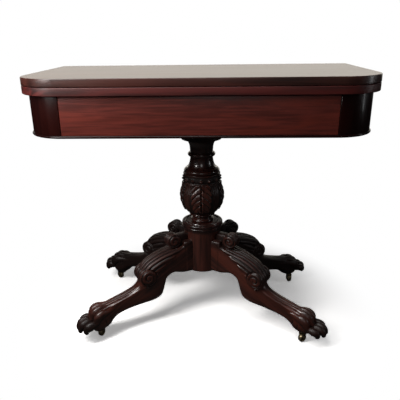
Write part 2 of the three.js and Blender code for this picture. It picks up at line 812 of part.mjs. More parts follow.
// A barrel across the leg with rounded ends, for the curl and the knee's scroll
function barrel(radius, halfLength, reach, level) {
  const profile = [
    [0, -halfLength],
    [radius - curlCrown, -halfLength],
    [radius, -halfLength + curlCrown],
    [radius, halfLength - curlCrown],
    [radius - curlCrown, halfLength],
    [0, halfLength],
  ].map(([r, along]) => new THREE.Vector2(r, along));
  const geometry = new THREE.LatheGeometry(profile, sectionPoints);
  geometry.translate(reachAt(0) + reach, 0, level);
  return solid(geometry);
}

function legShape() {
  const rings = legStationShares.map(legSection);
  const skin = loft(rings, middleOf(rings[0]), middleOf(rings[rings.length - 1]));
  const curl = barrel(curlRadius, curlHalfWidth, curlReach, curlLevel);
  const scroll = barrel(voluteRadius, legHalfWidth + voluteProud, voluteReach, voluteLevel);
  const toes = Array.from({ length: toeCount }, (_, number) => toe(number));
  const body = toes.reduce((sum, one) => sum.add(one), skin.add(curl).add(scroll));

  const faceClear = rod(drumRadius + seatGap, 0, tableHeight, 2 * columnSegments);
  const tongue = raised(tongueOutline(0), levelAt(legUndersideShare), drumUndersideLevel + tongueHeight)
    .intersect(board([0, -drumRadius, 0], [drumRadius + cutOverrun, drumRadius, tableHeight]));
  const atCaster = (shape) => shape.translate([casterReach, 0, 0]);
  const sole = atCaster(rod(soleFlatRadius, 0, casterTop, columnSegments));
  const stemHole = atCaster(rod(stemRadius + seatGap, 0, casterTop + stemLength));
  return body.subtract(faceClear).add(tongue).subtract(sole).subtract(stemHole);
}

// Casters

const crownLevel = 2 * wheelRadius + crownGap;
const socketLevel = crownLevel + crownThickness + seatGap;
const casterTop = socketLevel + socketThickness + seatGap;

function makeCaster(side) {
  const group = new THREE.Group();
  const axleLength = wheelWidth + 2 * (wheelSideGap + cheekThickness);
  const cheekInner = wheelWidth / 2 + wheelSideGap;
  const axlePlace = [casterTrail, 0, wheelRadius];

  const crown = rod(crownRadius, crownLevel, crownLevel + crownThickness, smallSegments);
  const arm = board(
    [0, -cheekInner - cheekThickness, crownLevel],
    [casterTrail + cheekHalfDepth, cheekInner + cheekThickness, crownLevel + crownThickness],
  );
  const cheek = (low, high) => board(
    [casterTrail - cheekHalfDepth, low, wheelRadius],
    [casterTrail + cheekHalfDepth, high, crownLevel + crownThickness],
  ).add(crossRod(cheekHalfDepth, high - low, 'y', [casterTrail, (low + high) / 2, wheelRadius]));
  const stemTop = casterTop + stemLength - seatGap;
  const yoke = crown
    .add(arm)
    .add(cheek(cheekInner, cheekInner + cheekThickness))
    .add(cheek(-cheekInner - cheekThickness, -cheekInner))
    .add(rod(stemRadius, crownLevel, stemTop))
    .subtract(crossRod(axleRadius + seatGap / 2, axleLength + cutOverrun, 'y', axlePlace));
  group.add(piece(`caster_yoke_${side}`, yoke, finishes.brass));

  const axle = crossRod(axleRadius, axleLength, 'y', axlePlace);
  group.add(piece(`caster_axle_${side}`, axle, finishes.brass));

  const tread = wheelWidth / 2;
  const rim = wheelRadius - tread / 3;
  const profile = [
    [0, -tread],
    [rim, -tread],
    [wheelRadius, -tread / 3],
    [wheelRadius, tread / 3],
    [rim, tread],
    [0, tread],
  ].map(([radius, along]) => new THREE.Vector2(radius, along));
  const geometry = new THREE.LatheGeometry(profile, columnSegments);
  geometry.translate(...axlePlace);
  const bore = crossRod(axleRadius + wheelBoreGap, wheelWidth + cutOverrun, 'y', axlePlace);
  group.add(piece(`caster_wheel_${side}`, solid(geometry).subtract(bore), finishes.brass));
  return group;
}

function casterSocket() {
  return rod(socketRadius, socketLevel, socketLevel + socketThickness, roundSegments)
    .subtract(rod(stemRadius + seatGap, socketLevel - cutOverrun, casterTop + cutOverrun));
}

function makeLegs() {
  const group = new THREE.Group();
  const shape = legShape();
  legPlaces.forEach(({ side, angle, heading }) => {
    const legGroup = new THREE.Group();
    legGroup.rotation.z = angle;
    legGroup.add(piece(`leg_${side}`, shape, finishes.carved));
    const socket = piece(`caster_socket_${side}`, casterSocket(), finishes.brass);
    socket.position.x = casterReach;
    legGroup.add(socket);
    const caster = makeCaster(side);
    caster.position.x = casterReach;
    caster.rotation.z = THREE.MathUtils.degToRad(heading) - angle;
    legGroup.add(caster);
    group.add(legGroup);
  });
  return group;
}

const cardTable = new THREE.Group();
cardTable.name = 'card_table';
cardTable.add(makeTop(), makeFrame(), makeColumn(), makeLegs());

export default cardTable;
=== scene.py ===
import json
import logging
import math
from collections.abc import Sequence
from dataclasses import dataclass, field, replace
from enum import Enum

import bpy
import numpy as np
from mathutils import Matrix, Vector

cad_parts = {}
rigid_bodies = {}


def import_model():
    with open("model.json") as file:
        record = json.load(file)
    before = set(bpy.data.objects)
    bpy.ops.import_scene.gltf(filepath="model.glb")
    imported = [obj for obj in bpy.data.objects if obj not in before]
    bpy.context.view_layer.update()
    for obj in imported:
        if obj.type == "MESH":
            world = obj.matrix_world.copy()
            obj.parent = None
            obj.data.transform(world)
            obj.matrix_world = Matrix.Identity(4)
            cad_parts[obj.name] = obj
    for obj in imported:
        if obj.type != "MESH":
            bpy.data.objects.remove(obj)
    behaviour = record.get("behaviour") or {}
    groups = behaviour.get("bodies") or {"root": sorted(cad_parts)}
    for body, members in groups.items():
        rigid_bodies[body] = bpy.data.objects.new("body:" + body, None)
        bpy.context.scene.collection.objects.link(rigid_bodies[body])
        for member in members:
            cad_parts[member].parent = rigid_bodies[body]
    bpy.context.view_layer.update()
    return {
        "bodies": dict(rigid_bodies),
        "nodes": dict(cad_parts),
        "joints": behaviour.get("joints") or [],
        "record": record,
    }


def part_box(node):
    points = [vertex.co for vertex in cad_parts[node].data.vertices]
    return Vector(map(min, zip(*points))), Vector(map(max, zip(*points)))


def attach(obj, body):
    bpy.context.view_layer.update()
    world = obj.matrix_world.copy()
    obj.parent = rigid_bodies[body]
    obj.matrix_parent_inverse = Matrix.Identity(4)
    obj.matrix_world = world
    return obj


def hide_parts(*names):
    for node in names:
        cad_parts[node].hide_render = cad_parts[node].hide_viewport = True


# A swivel-top card table in mahogany: turned and carved column, four paw legs on brass
# casters. Metres, +Z up, the front towards -Y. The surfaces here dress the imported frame.

log = logging.getLogger("card_table")

MM = 0.001
FULL_TURN = 2.0 * math.pi
# Edges sharper than this stay sharp in the light, in degrees; carved ones need more
CREASE = 35.0
CARVED_CREASE = 60.0
LEAF_CORNER_POINTS = 33
# Painted shade that darkens the back legs all over
BACK_LEG_SHADE = 0.7


class Body(Enum):
    """The frame's bodies that more than one piece rides on."""

    BASE = "base"
    TURNING_LEAF = "turning_leaf"
    FOLDING_LEAF = "folding_leaf"


class Slot(Enum):
    """The record's material slots."""

    TOP = "mahogany_top"
    PANEL = "mahogany_panel"
    CORNER = "mahogany_corner"
    CARVED = "mahogany_carved"
    SECONDARY = "secondary_wood"
    BRASS = "brass"
    IRON = "iron"


class Side(Enum):
    """The four legs: name, direction in plan in degrees from +X, and how far it has settled."""

    FRONT_RIGHT = ("front_right", -30.0, 7.0 * MM)
    BACK_RIGHT = ("back_right", 30.0, 7.0 * MM)
    BACK_LEFT = ("back_left", 150.0, -5.0 * MM)
    FRONT_LEFT = ("front_left", 210.0, -5.0 * MM)

    @property
    def label(self) -> str:
        """The side's part of a node's name."""
        return self.value[0]

    @property
    def degrees(self) -> float:
        """The leg's direction."""
        return self.value[1]

    @property
    def settling(self) -> float:
        """How far the old leg's outer half has sunk, or risen where it is negative."""
        return self.value[2]

    @property
    def wax(self) -> float:
        """How much painted shade darkens the leg: the back legs, in the shade of the top, get it
        all over.
        """
        return BACK_LEG_SHADE if self.label.startswith("back") else 0.0


class Hand(Enum):
    """The table's left and right, as the sign of X."""

    LEFT = -1
    RIGHT = 1

    @property
    def label(self) -> str:
        """The hand's part of a node's name."""
        return self.name.lower()


@dataclass(frozen=True)
class NodeBox:
    """The box that a CAD node fills at rest, in metres."""

    low: np.ndarray
    high: np.ndarray

    @classmethod
    def of(cls, node: str) -> "NodeBox":
        """Reads a CAD node's box from the frame."""
        low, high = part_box(node)
        return cls(np.array(low), np.array(high))

    @property
    def middle(self) -> np.ndarray:
        """The box's centre."""
        return (self.low + self.high) / 2

    @property
    def size(self) -> np.ndarray:
        """The box's three lengths."""
        return self.high - self.low


# Surfaces


@dataclass
class Surface:
    """One or more closed skins, with the values that the finishes read at each point."""

    points: np.ndarray
    faces: list[np.ndarray]
    # How much painted shade darkens each point, from 0 to 1
    recess: np.ndarray
    grain: np.ndarray

    @classmethod
    def of(
        cls,
        points: np.ndarray,
        faces: list[np.ndarray],
        recess: np.ndarray | None = None,
        grain: np.ndarray | None = None,
    ) -> "Surface":
        """Gathers points and faces, turned so that the faces point outwards.

        Args:
            points: the points, one row each.
            faces: arrays of point numbers, each array with faces of one size.
            recess: how much painted shade darkens each point, from 0 to 1.
            grain: where each point lies in the plank, with X along the grain.

        Returns:
            The surface.
        """
        flat = points.reshape(-1, 3)
        depth = np.zeros(len(flat)) if recess is None else recess.reshape(-1)
        plank = flat.copy() if grain is None else grain.reshape(-1, 3)
        made = cls(flat, faces, np.clip(depth, 0.0, 1.0), plank)
        if made.volume() < 0:
            made.faces = [group[:, ::-1] for group in faces]
        return made

    def volume(self) -> float:
        """The enclosed volume: a sixth of the sum of the triple products of each fan triangle.

        Returns:
            The volume in cubic metres.
        """
        total = 0.0
        for group in self.faces:
            first = self.points[group[:, 0]]
            for k in range(1, group.shape[1] - 1):
                second = self.points[group[:, k]]
                third = self.points[group[:, k + 1]]
                total += float(np.einsum("ij,ij->", first, np.cross(second, third)))
        return total / 6

    def joined(self, *others: "Surface") -> "Surface":
        """This surface and others as one, each skin still closed by itself.

        Args:
            others: the surfaces to add.

        Returns:
            The joined surface.
        """
        parts = [self, *others]
        starts = np.cumsum([0] + [len(part.points) for part in parts[:-1]])
        faces = [g + start for part, start in zip(parts, starts) for g in part.faces]
        return Surface(
            np.concatenate([part.points for part in parts]),
            faces,
            np.concatenate([part.recess for part in parts]),
            np.concatenate([part.grain for part in parts]),
        )

    def turned(self, degrees: float) -> "Surface":
        """The surface turned about the upright axis; the grain turns with it.

        Args:
            degrees: the angle, from +X towards +Y.

        Returns:
            The turned surface.
        """
        angle = math.radians(degrees)
        c, s = math.cos(angle), math.sin(angle)
        matrix = np.array([[c, -s, 0.0], [s, c, 0.0], [0.0, 0.0, 1.0]])
        return Surface(self.points @ matrix.T, self.faces, self.recess, self.grain)

    def mirrored(self) -> "Surface":
        """The mirror image in the plane X = 0, its faces still pointing outwards."""
        points = self.points * np.array([-1.0, 1.0, 1.0])
        return Surface(points, [g[:, ::-1] for g in self.faces], self.recess, self.grain)


def ease(value: np.ndarray, low: float, high: float) -> np.ndarray:
    """A soft step from 0 at low to 1 at high: three times the square less twice the cube."""
    share = np.clip((value - low) / (high - low), 0.0, 1.0)
    return share * share * (3.0 - 2.0 * share)


def span(value: np.ndarray, start: float, full: float, end: float, fade: float) -> np.ndarray:
    """1 from full to a fade before the end, with soft steps from the start and to the end."""
    return ease(value, start, full) * ease(end - value, 0.0, fade)


def bell(value: np.ndarray, width: float) -> np.ndarray:
    """A bell curve: e to the power of less the square of the value over the width."""
    return np.exp(-((value / width) ** 2))


def ribbed(phase: np.ndarray, fill: float = 1.0) -> np.ndarray:
    """Round ribs, one for each whole number of the phase, that fill a share of their pitch."""
    # The height is the root of one less the square of the distance from the rib's middle
    across = (2.0 * (phase - np.floor(phase)) - 1.0) / fill
    return np.sqrt(np.clip(1.0 - across * across, 0.0, 1.0))


def valley(rib: np.ndarray, share: float) -> np.ndarray:
    """How much painted shade lies between ribs: 1 in the valley, and less by the share on the rib.
    """
    return 1.0 - share * ease(rib, 0.25, 0.9)


def through(rows: np.ndarray, at: np.ndarray) -> np.ndarray:
    """A smooth curve through rows of values.

    Between two rows it is the cubic that has the rows' values at its ends, and there the
    slope of half the step between the neighbours on either side.

    Args:
        rows: the values, one row for each whole number.
        at: where to read the curve, in rows.

    Returns:
        One row of values for each place.
    """
    index = np.clip(at.astype(int), 0, len(rows) - 2)
    t = (at - index)[:, None]
    slopes = np.gradient(rows, axis=0)
    start, end = rows[index], rows[index + 1]
    leaving, arriving = slopes[index], slopes[index + 1]
    t2, t3 = t * t, t * t * t
    return (
        (2 * t3 - 3 * t2 + 1) * start
        + (t3 - 2 * t2 + t) * leaving
        + (3 * t2 - 2 * t3) * end
        + (t3 - t2) * arriving
    )


def grid_faces(rows: int, around: int, start: int = 0) -> np.ndarray:
    """The quads between rows of points that close on themselves.

    Args:
        rows: the number of rows.
        around: the number of points in a row.
        start: the first point's number.

    Returns:
        The quads' point numbers.
    """
    index = start + np.arange(rows * around).reshape(rows, around)
    a, d = index[:-1], index[1:]
    b, c = np.roll(a, -1, axis=1), np.roll(d, -1, axis=1)
    return np.stack([a, b, c, d], axis=-1).reshape(-1, 4)


def skin(
    rings: np.ndarray, recess: np.ndarray | None = None, grain: np.ndarray | None = None
) -> Surface:
    """A closed skin over rings of points, with a fan over each end.

    Args:
        rings: the points, by ring and around it.
        recess: how much painted shade darkens each point.
        grain: the place in the plank of each point.

    Returns:
        The surface.
    """
    rows, around = rings.shape[:2]
    flat = rings.reshape(-1, 3)
    poles = np.stack([rings[0].mean(axis=0), rings[-1].mean(axis=0)])
    first, last = rows * around, rows * around + 1
    edge = np.arange(around)
    following = np.roll(edge, -1)
    far = (rows - 1) * around
    start_fan = np.stack([np.full(around, first), following, edge], axis=-1)
    end_fan = np.stack([np.full(around, last), far + edge, far + following], axis=-1)
    deep = None
    if recess is not None:
        ends = [recess[0].mean(), recess[-1].mean()]
        deep = np.concatenate([recess.reshape(-1), ends])
    plank = None
    if grain is not None:
        ends = np.stack([grain[0].mean(axis=0), grain[-1].mean(axis=0)])
        plank = np.concatenate([grain.reshape(-1, 3), ends])
    points = np.concatenate([flat, poles])
    return Surface.of(points, [grid_faces(rows, around), start_fan, end_fan], deep, plank)


def capped(rings: np.ndarray, grain: np.ndarray | None = None) -> Surface:
    """A closed skin over rings of points, with one flat face over each end.

    Args:
        rings: the points, by ring and around it.
        grain: the place in the plank of each point.

    Returns:
        The surface.
    """
    rows, around = rings.shape[:2]
    edge = np.arange(around)
    ends = [edge[None, ::-1], (rows - 1) * around + edge[None, :]]
    return Surface.of(rings.reshape(-1, 3), [grid_faces(rows, around), *ends], None, grain)


def grid_normals(points: np.ndarray) -> np.ndarray:
    """Unit normals of a grid that closes on itself across, pointing away from its core.

    The normal is the cross product of the steps along and across, and its sign is the one
    that points away from the middle of its ring.

    Args:
        points: the grid's points, by ring and around it.

    Returns:
        The normals, in the grid's shape.
    """
    along = np.gradient(points, axis=0)
    across = np.roll(points, -1, axis=1) - np.roll(points, 1, axis=1)
    normal = np.cross(across, along)
    normal /= np.maximum(np.linalg.norm(normal, axis=-1, keepdims=True), 1e-12)
    outward = points - points.mean(axis=1, keepdims=True)
    sign = np.sign((normal * outward).sum(axis=-1).sum())
    return normal * sign


def even_profile(profile: np.ndarray, count: int) -> np.ndarray:
    """Points spread evenly along a profile, by its length.

    Args:
        profile: the profile's own points.
        count: how many points to spread.

    Returns:
        The spread points.
    """
    steps = np.linalg.norm(np.diff(profile, axis=0), axis=1)
    length = np.concatenate([[0.0], np.cumsum(steps)])
    at = np.linspace(0.0, length[-1], count)
    return np.stack([np.interp(at, length, column) for column in profile.T], axis=-1)


def half_round(inner: float, outer: float, low: float, high: float, count: int = 13) -> np.ndarray:
    """The profile of a half-round ring: radius by cosine and level by sine of one angle.

    Args:
        inner: the radius at the ring's edges.
        outer: the radius at its middle.
        low: the level of its lower edge.
        high: the level of its upper edge.
        count: how many points.

    Returns:
        Rows of radius and level, from the lower edge up.
    """
    angle = np.linspace(-math.pi / 2, math.pi / 2, count)
    radius = inner + (outer - inner) * np.cos(angle)
    return np.stack([radius, (low + high) / 2 + (high - low) / 2 * np.sin(angle)], axis=-1)


def swell(
    start: Sequence[float], end: Sequence[float], soft: tuple[bool, bool], count: int = 25
) -> np.ndarray:
    """A Bezier stretch of a turned profile.

    A soft end leaves or arrives upright, and a hard one level.

    Args:
        start: radius and level at the lower end.
        end: radius and level at the upper end.
        soft: whether the lower and the upper end are soft.
        count: how many points.

    Returns:
        Rows of radius and level, from the lower end up.
    """
    a, d = np.array(start), np.array(end)
    handle = (d[1] - a[1]) / 2
    middle = (a[0] + d[0]) / 2
    b = np.array([a[0], a[1] + handle]) if soft[0] else np.array([middle, a[1]])
    c = np.array([d[0], d[1] - handle]) if soft[1] else np.array([middle, d[1]])
    t = np.linspace(0.0, 1.0, count)[:, None]
    u = 1.0 - t
    return u**3 * a + 3 * u * u * t * b + 3 * u * t * t * c + t**3 * d


def lathe(profile: np.ndarray, segments: int = 96) -> np.ndarray:
    """A profile turned about the Z axis, as a grid of points.

    Args:
        profile: rows of radius and level.
        segments: how many points around.

    Returns:
        The points, by ring and around it, starting at the front.
    """
    angle = np.arange(segments) / segments * FULL_TURN - math.pi / 2
    radius, level = profile[:, :1], profile[:, 1:]
    flat = np.ones_like(angle)
    return np.stack([radius * np.cos(angle), radius * np.sin(angle), level * flat], axis=-1)


# Shading


class SocketMath:
    """A shader socket that Python's operators turn into Math nodes."""

    def __init__(self, graph: "NodeGraph", socket: bpy.types.NodeSocket) -> None:
        """Wraps an output socket; new nodes go into the graph."""
        self.graph = graph
        self.socket = socket

    def _math(self, operation: str, *values: "SocketMath | float") -> "SocketMath":
        """Adds one Math node on the given values."""
        return self.graph.add("Math", dict(enumerate(values)), operation=operation)

    def __add__(self, other: "SocketMath | float") -> "SocketMath":
        """The sum."""
        return self._math("ADD", self, other)

    def __sub__(self, other: "SocketMath | float") -> "SocketMath":
        """The difference."""
        return self._math("SUBTRACT", self, other)

    def __rsub__(self, other: float) -> "SocketMath":
        """The difference from a number."""
        return self._math("SUBTRACT", other, self)

    def __mul__(self, other: "SocketMath | float") -> "SocketMath":
        """The product."""
        return self._math("MULTIPLY", self, other)

    def step(self, low: float, high: float) -> "SocketMath":
        """A soft step from 0 at low to 1 at high."""
        inputs = {0: self, 1: low, 2: high}
        return self.graph.add("MapRange", inputs, interpolation_type="SMOOTHSTEP")


Colour = tuple[float, float, float]
WHITE = (1.0, 1.0, 1.0)


class NodeGraph:
    """The shader nodes of a material or of the surroundings."""

    def __init__(self, owner: bpy.types.Material | bpy.types.World) -> None:
        """Starts an empty graph.

        Args:
            owner: the material or the world that the nodes belong to.
        """
        owner.use_nodes = True
        self.owner = owner
        self.tree = owner.node_tree
        self.tree.nodes.clear()

    def add(
        self, kind: str, inputs: dict | None = None, out: int | str = 0, **settings: str
    ) -> SocketMath | None:
        """Adds a node, sets it up and links its inputs.

        Args:
            kind: the node's type, without the words that all of them start with.
            inputs: a value or a wrapped socket for each input, by number or name.
            out: which output to wrap.
            settings: the node's own settings.

        Returns:
            The wrapped output, where the node has one.
        """
        node = self.tree.nodes.new(f"ShaderNode{kind}")
        for key, value in settings.items():
            setattr(node, key, value)
        for key, value in (inputs or {}).items():
            if isinstance(value, SocketMath):
                self.tree.links.new(value.socket, node.inputs[key])
            elif isinstance(value, tuple) and len(value) == 3 and node.inputs[key].type == "RGBA":
                node.inputs[key].default_value = (*value, 1.0)
            else:
                node.inputs[key].default_value = value
        return SocketMath(self, node.outputs[out]) if len(node.outputs) else None

    def attribute(self, name: str, out: str) -> SocketMath:
        """A value that the piece carries at each point, as the output Fac or Vector."""
        return self.add("Attribute", out=out, attribute_name=name)

    def object_place(self) -> SocketMath:
        """The place on the object, in metres."""
        return self.add("TexCoord", out="Object")

    def noise(
        self, place: SocketMath, finest: float, drawn: float, detail: float, twist: float = 0.0
    ) -> SocketMath:
        """Noise, drawn out along X.

        Args:
            place: where to read it.
            finest: how many times a metre it changes across.
            drawn: how many times longer it is along X.
            detail: how many finer layers it has.
            twist: how far it is distorted.

        Returns:
            The noise, from 0 to 1.
        """
        scale = (finest / drawn, finest, finest)
        stretched = self.add("VectorMath", {0: place, 1: scale}, operation="MULTIPLY")
        inputs = {"Vector": stretched, "Scale": 1.0, "Detail": detail, "Distortion": twist}
        return self.add("TexNoise", inputs, "Fac")

    def mix(
        self, factor: SocketMath, first: "SocketMath | Colour", second: "SocketMath | Colour"
    ) -> SocketMath:
        """Mixes two colours, with the factor as the share of the second."""
        inputs = {"Factor": factor, 6: first, 7: second}
        return self.add("Mix", inputs, 2, data_type="RGBA")

    def bump(self, height: SocketMath, depth: float, strength: float) -> SocketMath:
        """The normal over a relief of a depth in metres."""
        return self.add("Bump", {"Height": height, "Distance": depth, "Strength": strength})

    def finish(self, values: dict) -> bpy.types.Material:
        """Ends the graph in a Principled shader with the given inputs."""
        self.add("OutputMaterial", {"Surface": self.add("BsdfPrincipled", values)})
        return self.owner


@dataclass(frozen=True)
class WoodFinish:
    """Polished wood. The grain runs along X of each piece's grain attribute."""

    name: str
    slot: Slot
    dark: Colour
    light: Colour
    glow: Colour
    roughness: float = 0.3
    coat: float = 0.35
    coat_roughness: float = 0.12
    streaks: float = 70.0
    figure: float = 9.0
    pores: float = 900.0
    pore_depth: float = 0.05 * MM
    specular: float = 0.5
    rough_streaks: float = 0.12
    hollow_colour: Colour = (0.009, 0.0036, 0.0026)
    on_frame: bool = False
    # How many times longer than wide the streaks, the figure and the pores are
    drawn: tuple[float, float, float] = (22, 5, 16)
    # Between which values of the noise each of them sets in, and how strong it is then
    streak_span: tuple[float, float] = (0.34, 0.68)
    figure_span: tuple[float, float] = (0.42, 0.72)
    pore_span: tuple[float, float] = (0.6, 0.74)
    figure_share: float = 0.8
    pore_share: float = 0.55
    # The same for the painted shade in hollows and on shaded parts, how much rougher they
    # are, and how deep the painted shade is where no coat is left
    hollow_span: tuple[float, float] = (0.1, 0.8)
    hollow_share: float = 0.95
    hollow_roughness: float = 0.25
    coat_end: float = 0.7
    streak_relief: float = 0.35
    relief_strength: float = 0.6

    def material(self) -> bpy.types.Material:
        """Builds the material.

        Streaks and a broad figure, both noise drawn out along the grain, mix the colours;
        short dark pores lie over them; painted shade darkens hollows and shaded parts, and
        there the gloss is dull.

        Returns:
            The material.
        """
        graph = NodeGraph(bpy.data.materials.new(self.name))
        place = graph.object_place() if self.on_frame else graph.attribute("grain", "Vector")
        streak = graph.noise(place, self.streaks, self.drawn[0], detail=6.0, twist=0.6)
        figure = graph.noise(place, self.figure, self.drawn[1], detail=3.0, twist=1.2)
        pore = graph.noise(place, self.pores, self.drawn[2], detail=2.0)
        tone = graph.mix(streak.step(*self.streak_span), self.dark, self.light)
        warm = graph.mix(figure.step(*self.figure_span) * self.figure_share, tone, self.glow)
        ticks = pore.step(*self.pore_span)
        pored = graph.mix(ticks * self.pore_share, warm, self.dark)
        if self.on_frame:
            colour = pored
            rough = streak * self.rough_streaks + self.roughness
            coat: SocketMath | float = self.coat
        else:
            # Painted shade: each piece's painted shade mask mixes in the dark shade colour and
            # dulls the gloss
            recess = graph.attribute("recess", "Fac")
            wax = recess.step(*self.hollow_span) * self.hollow_share
            colour = graph.mix(wax, pored, self.hollow_colour)
            rough = streak * self.rough_streaks + recess * self.hollow_roughness + self.roughness
            coat = (1.0 - recess.step(0.0, self.coat_end)) * self.coat
        height = streak * self.streak_relief - ticks
        bump = graph.bump(height, self.pore_depth, self.relief_strength)
        return graph.finish({
            "Base Color": colour,
            "Roughness": rough,
            "Specular IOR Level": self.specular,
            "Normal": bump,
            "Coat Weight": coat,
            "Coat Roughness": self.coat_roughness,
        })


@dataclass(frozen=True)
class MetalFinish:
    """Cast or forged metal with tarnish in patches."""

    name: str
    slot: Slot
    bright: Colour
    tarnished: Colour
    roughness: float = 0.3
    patches: float = 90.0
    grit_depth: float = 0.05 * MM
    grit_share: float = 12
    grit_strength: float = 0.5
    patch_span: tuple[float, float] = (0.38, 0.66)
    # Between which values of the patches' noise the metal loses its shine, and how much
    dull_span: tuple[float, float] = (0.55, 0.85)
    dull_share: float = 0.35
    patch_roughness: float = 0.3

    def material(self) -> bpy.types.Material:
        """Builds the material.

        Returns:
            The material.
        """
        graph = NodeGraph(bpy.data.materials.new(self.name))
        place = graph.object_place()
        patch = graph.noise(place, self.patches, drawn=1, detail=5.0, twist=0.4)
        fine = graph.noise(place, self.patches * self.grit_share, drawn=1, detail=3.0)
        colour = graph.mix(patch.step(*self.patch_span), self.bright, self.tarnished)
        bump = graph.bump(fine, self.grit_depth, self.grit_strength)
        return graph.finish({
            "Base Color": colour,
            "Metallic": 1.0 - patch.step(*self.dull_span) * self.dull_share,
            "Roughness": patch * self.patch_roughness + self.roughness,
            "Normal": bump,
        })


TOP_FINISH = WoodFinish(
    "top_mahogany", Slot.TOP, (0.017, 0.0062, 0.005), (0.060, 0.020, 0.015), (0.068, 0.017, 0.012),
    roughness=0.30, coat=0.5, coat_roughness=0.22,
)
LOWER_TOP_FINISH = replace(
    TOP_FINISH, name="lower_top_mahogany", dark=(0.024, 0.0036, 0.0030),
    light=(0.090, 0.0115, 0.0092), glow=(0.098, 0.0100, 0.0078), roughness=0.42, coat=0.12,
)
PANEL_FINISH = WoodFinish(
    "panel_mahogany", Slot.PANEL, (0.074, 0.0150, 0.0112), (0.144, 0.0262, 0.0188),
    (0.176, 0.0280, 0.0170), roughness=0.28, coat=0.3, streaks=210.0, figure=16.0,
)
CORNER_FINISH = WoodFinish(
    "corner_mahogany", Slot.CORNER, (0.008, 0.0017, 0.0015), (0.015, 0.0029, 0.0024),
    (0.019, 0.0029, 0.0022), roughness=0.25, coat=0.16, coat_roughness=0.08, specular=0.15,
)
CARVED_FINISH = WoodFinish(
    "carved_mahogany", Slot.CARVED, (0.014, 0.0048, 0.0034), (0.078, 0.0225, 0.0155),
    (0.108, 0.0235, 0.0130), roughness=0.24, coat=0.5, coat_roughness=0.10, streaks=90.0,
)
# A darker, glossier copy of the carved finish for the turned parts: painted shade on the neck under
# the top, and the disc's and foot's own dark tone
TURNED_FINISH = replace(
    CARVED_FINISH, name="turned_mahogany", dark=(0.010, 0.0036, 0.0028),
    light=(0.042, 0.0120, 0.0088), glow=(0.056, 0.0120, 0.0076), coat=0.6, coat_roughness=0.08,
)
SECONDARY_FINISH = WoodFinish(
    "secondary_wood", Slot.SECONDARY, (0.19, 0.105, 0.048), (0.36, 0.22, 0.11), (0.30, 0.16, 0.07),
    roughness=0.6, coat=0.0, streaks=120.0, on_frame=True,
)
BRASS_FINISH = MetalFinish("aged_brass", Slot.BRASS, (0.56, 0.46, 0.28), (0.16, 0.13, 0.08))
IRON_FINISH = MetalFinish("old_iron", Slot.IRON, (0.16, 0.15, 0.14), (0.06, 0.045, 0.035), 0.45)

Finish = WoodFinish | MetalFinish


# The making of pieces


def placed(name: str, data: bpy.types.ID) -> bpy.types.Object:
    """A new object in the scene with the given mesh, lamp or camera.

    Args:
        name: the object's name.
        data: its mesh, lamp or camera.

    Returns:
        The object.
    """
    made = bpy.data.objects.new(name, data)
    bpy.context.scene.collection.objects.link(made)
    return made


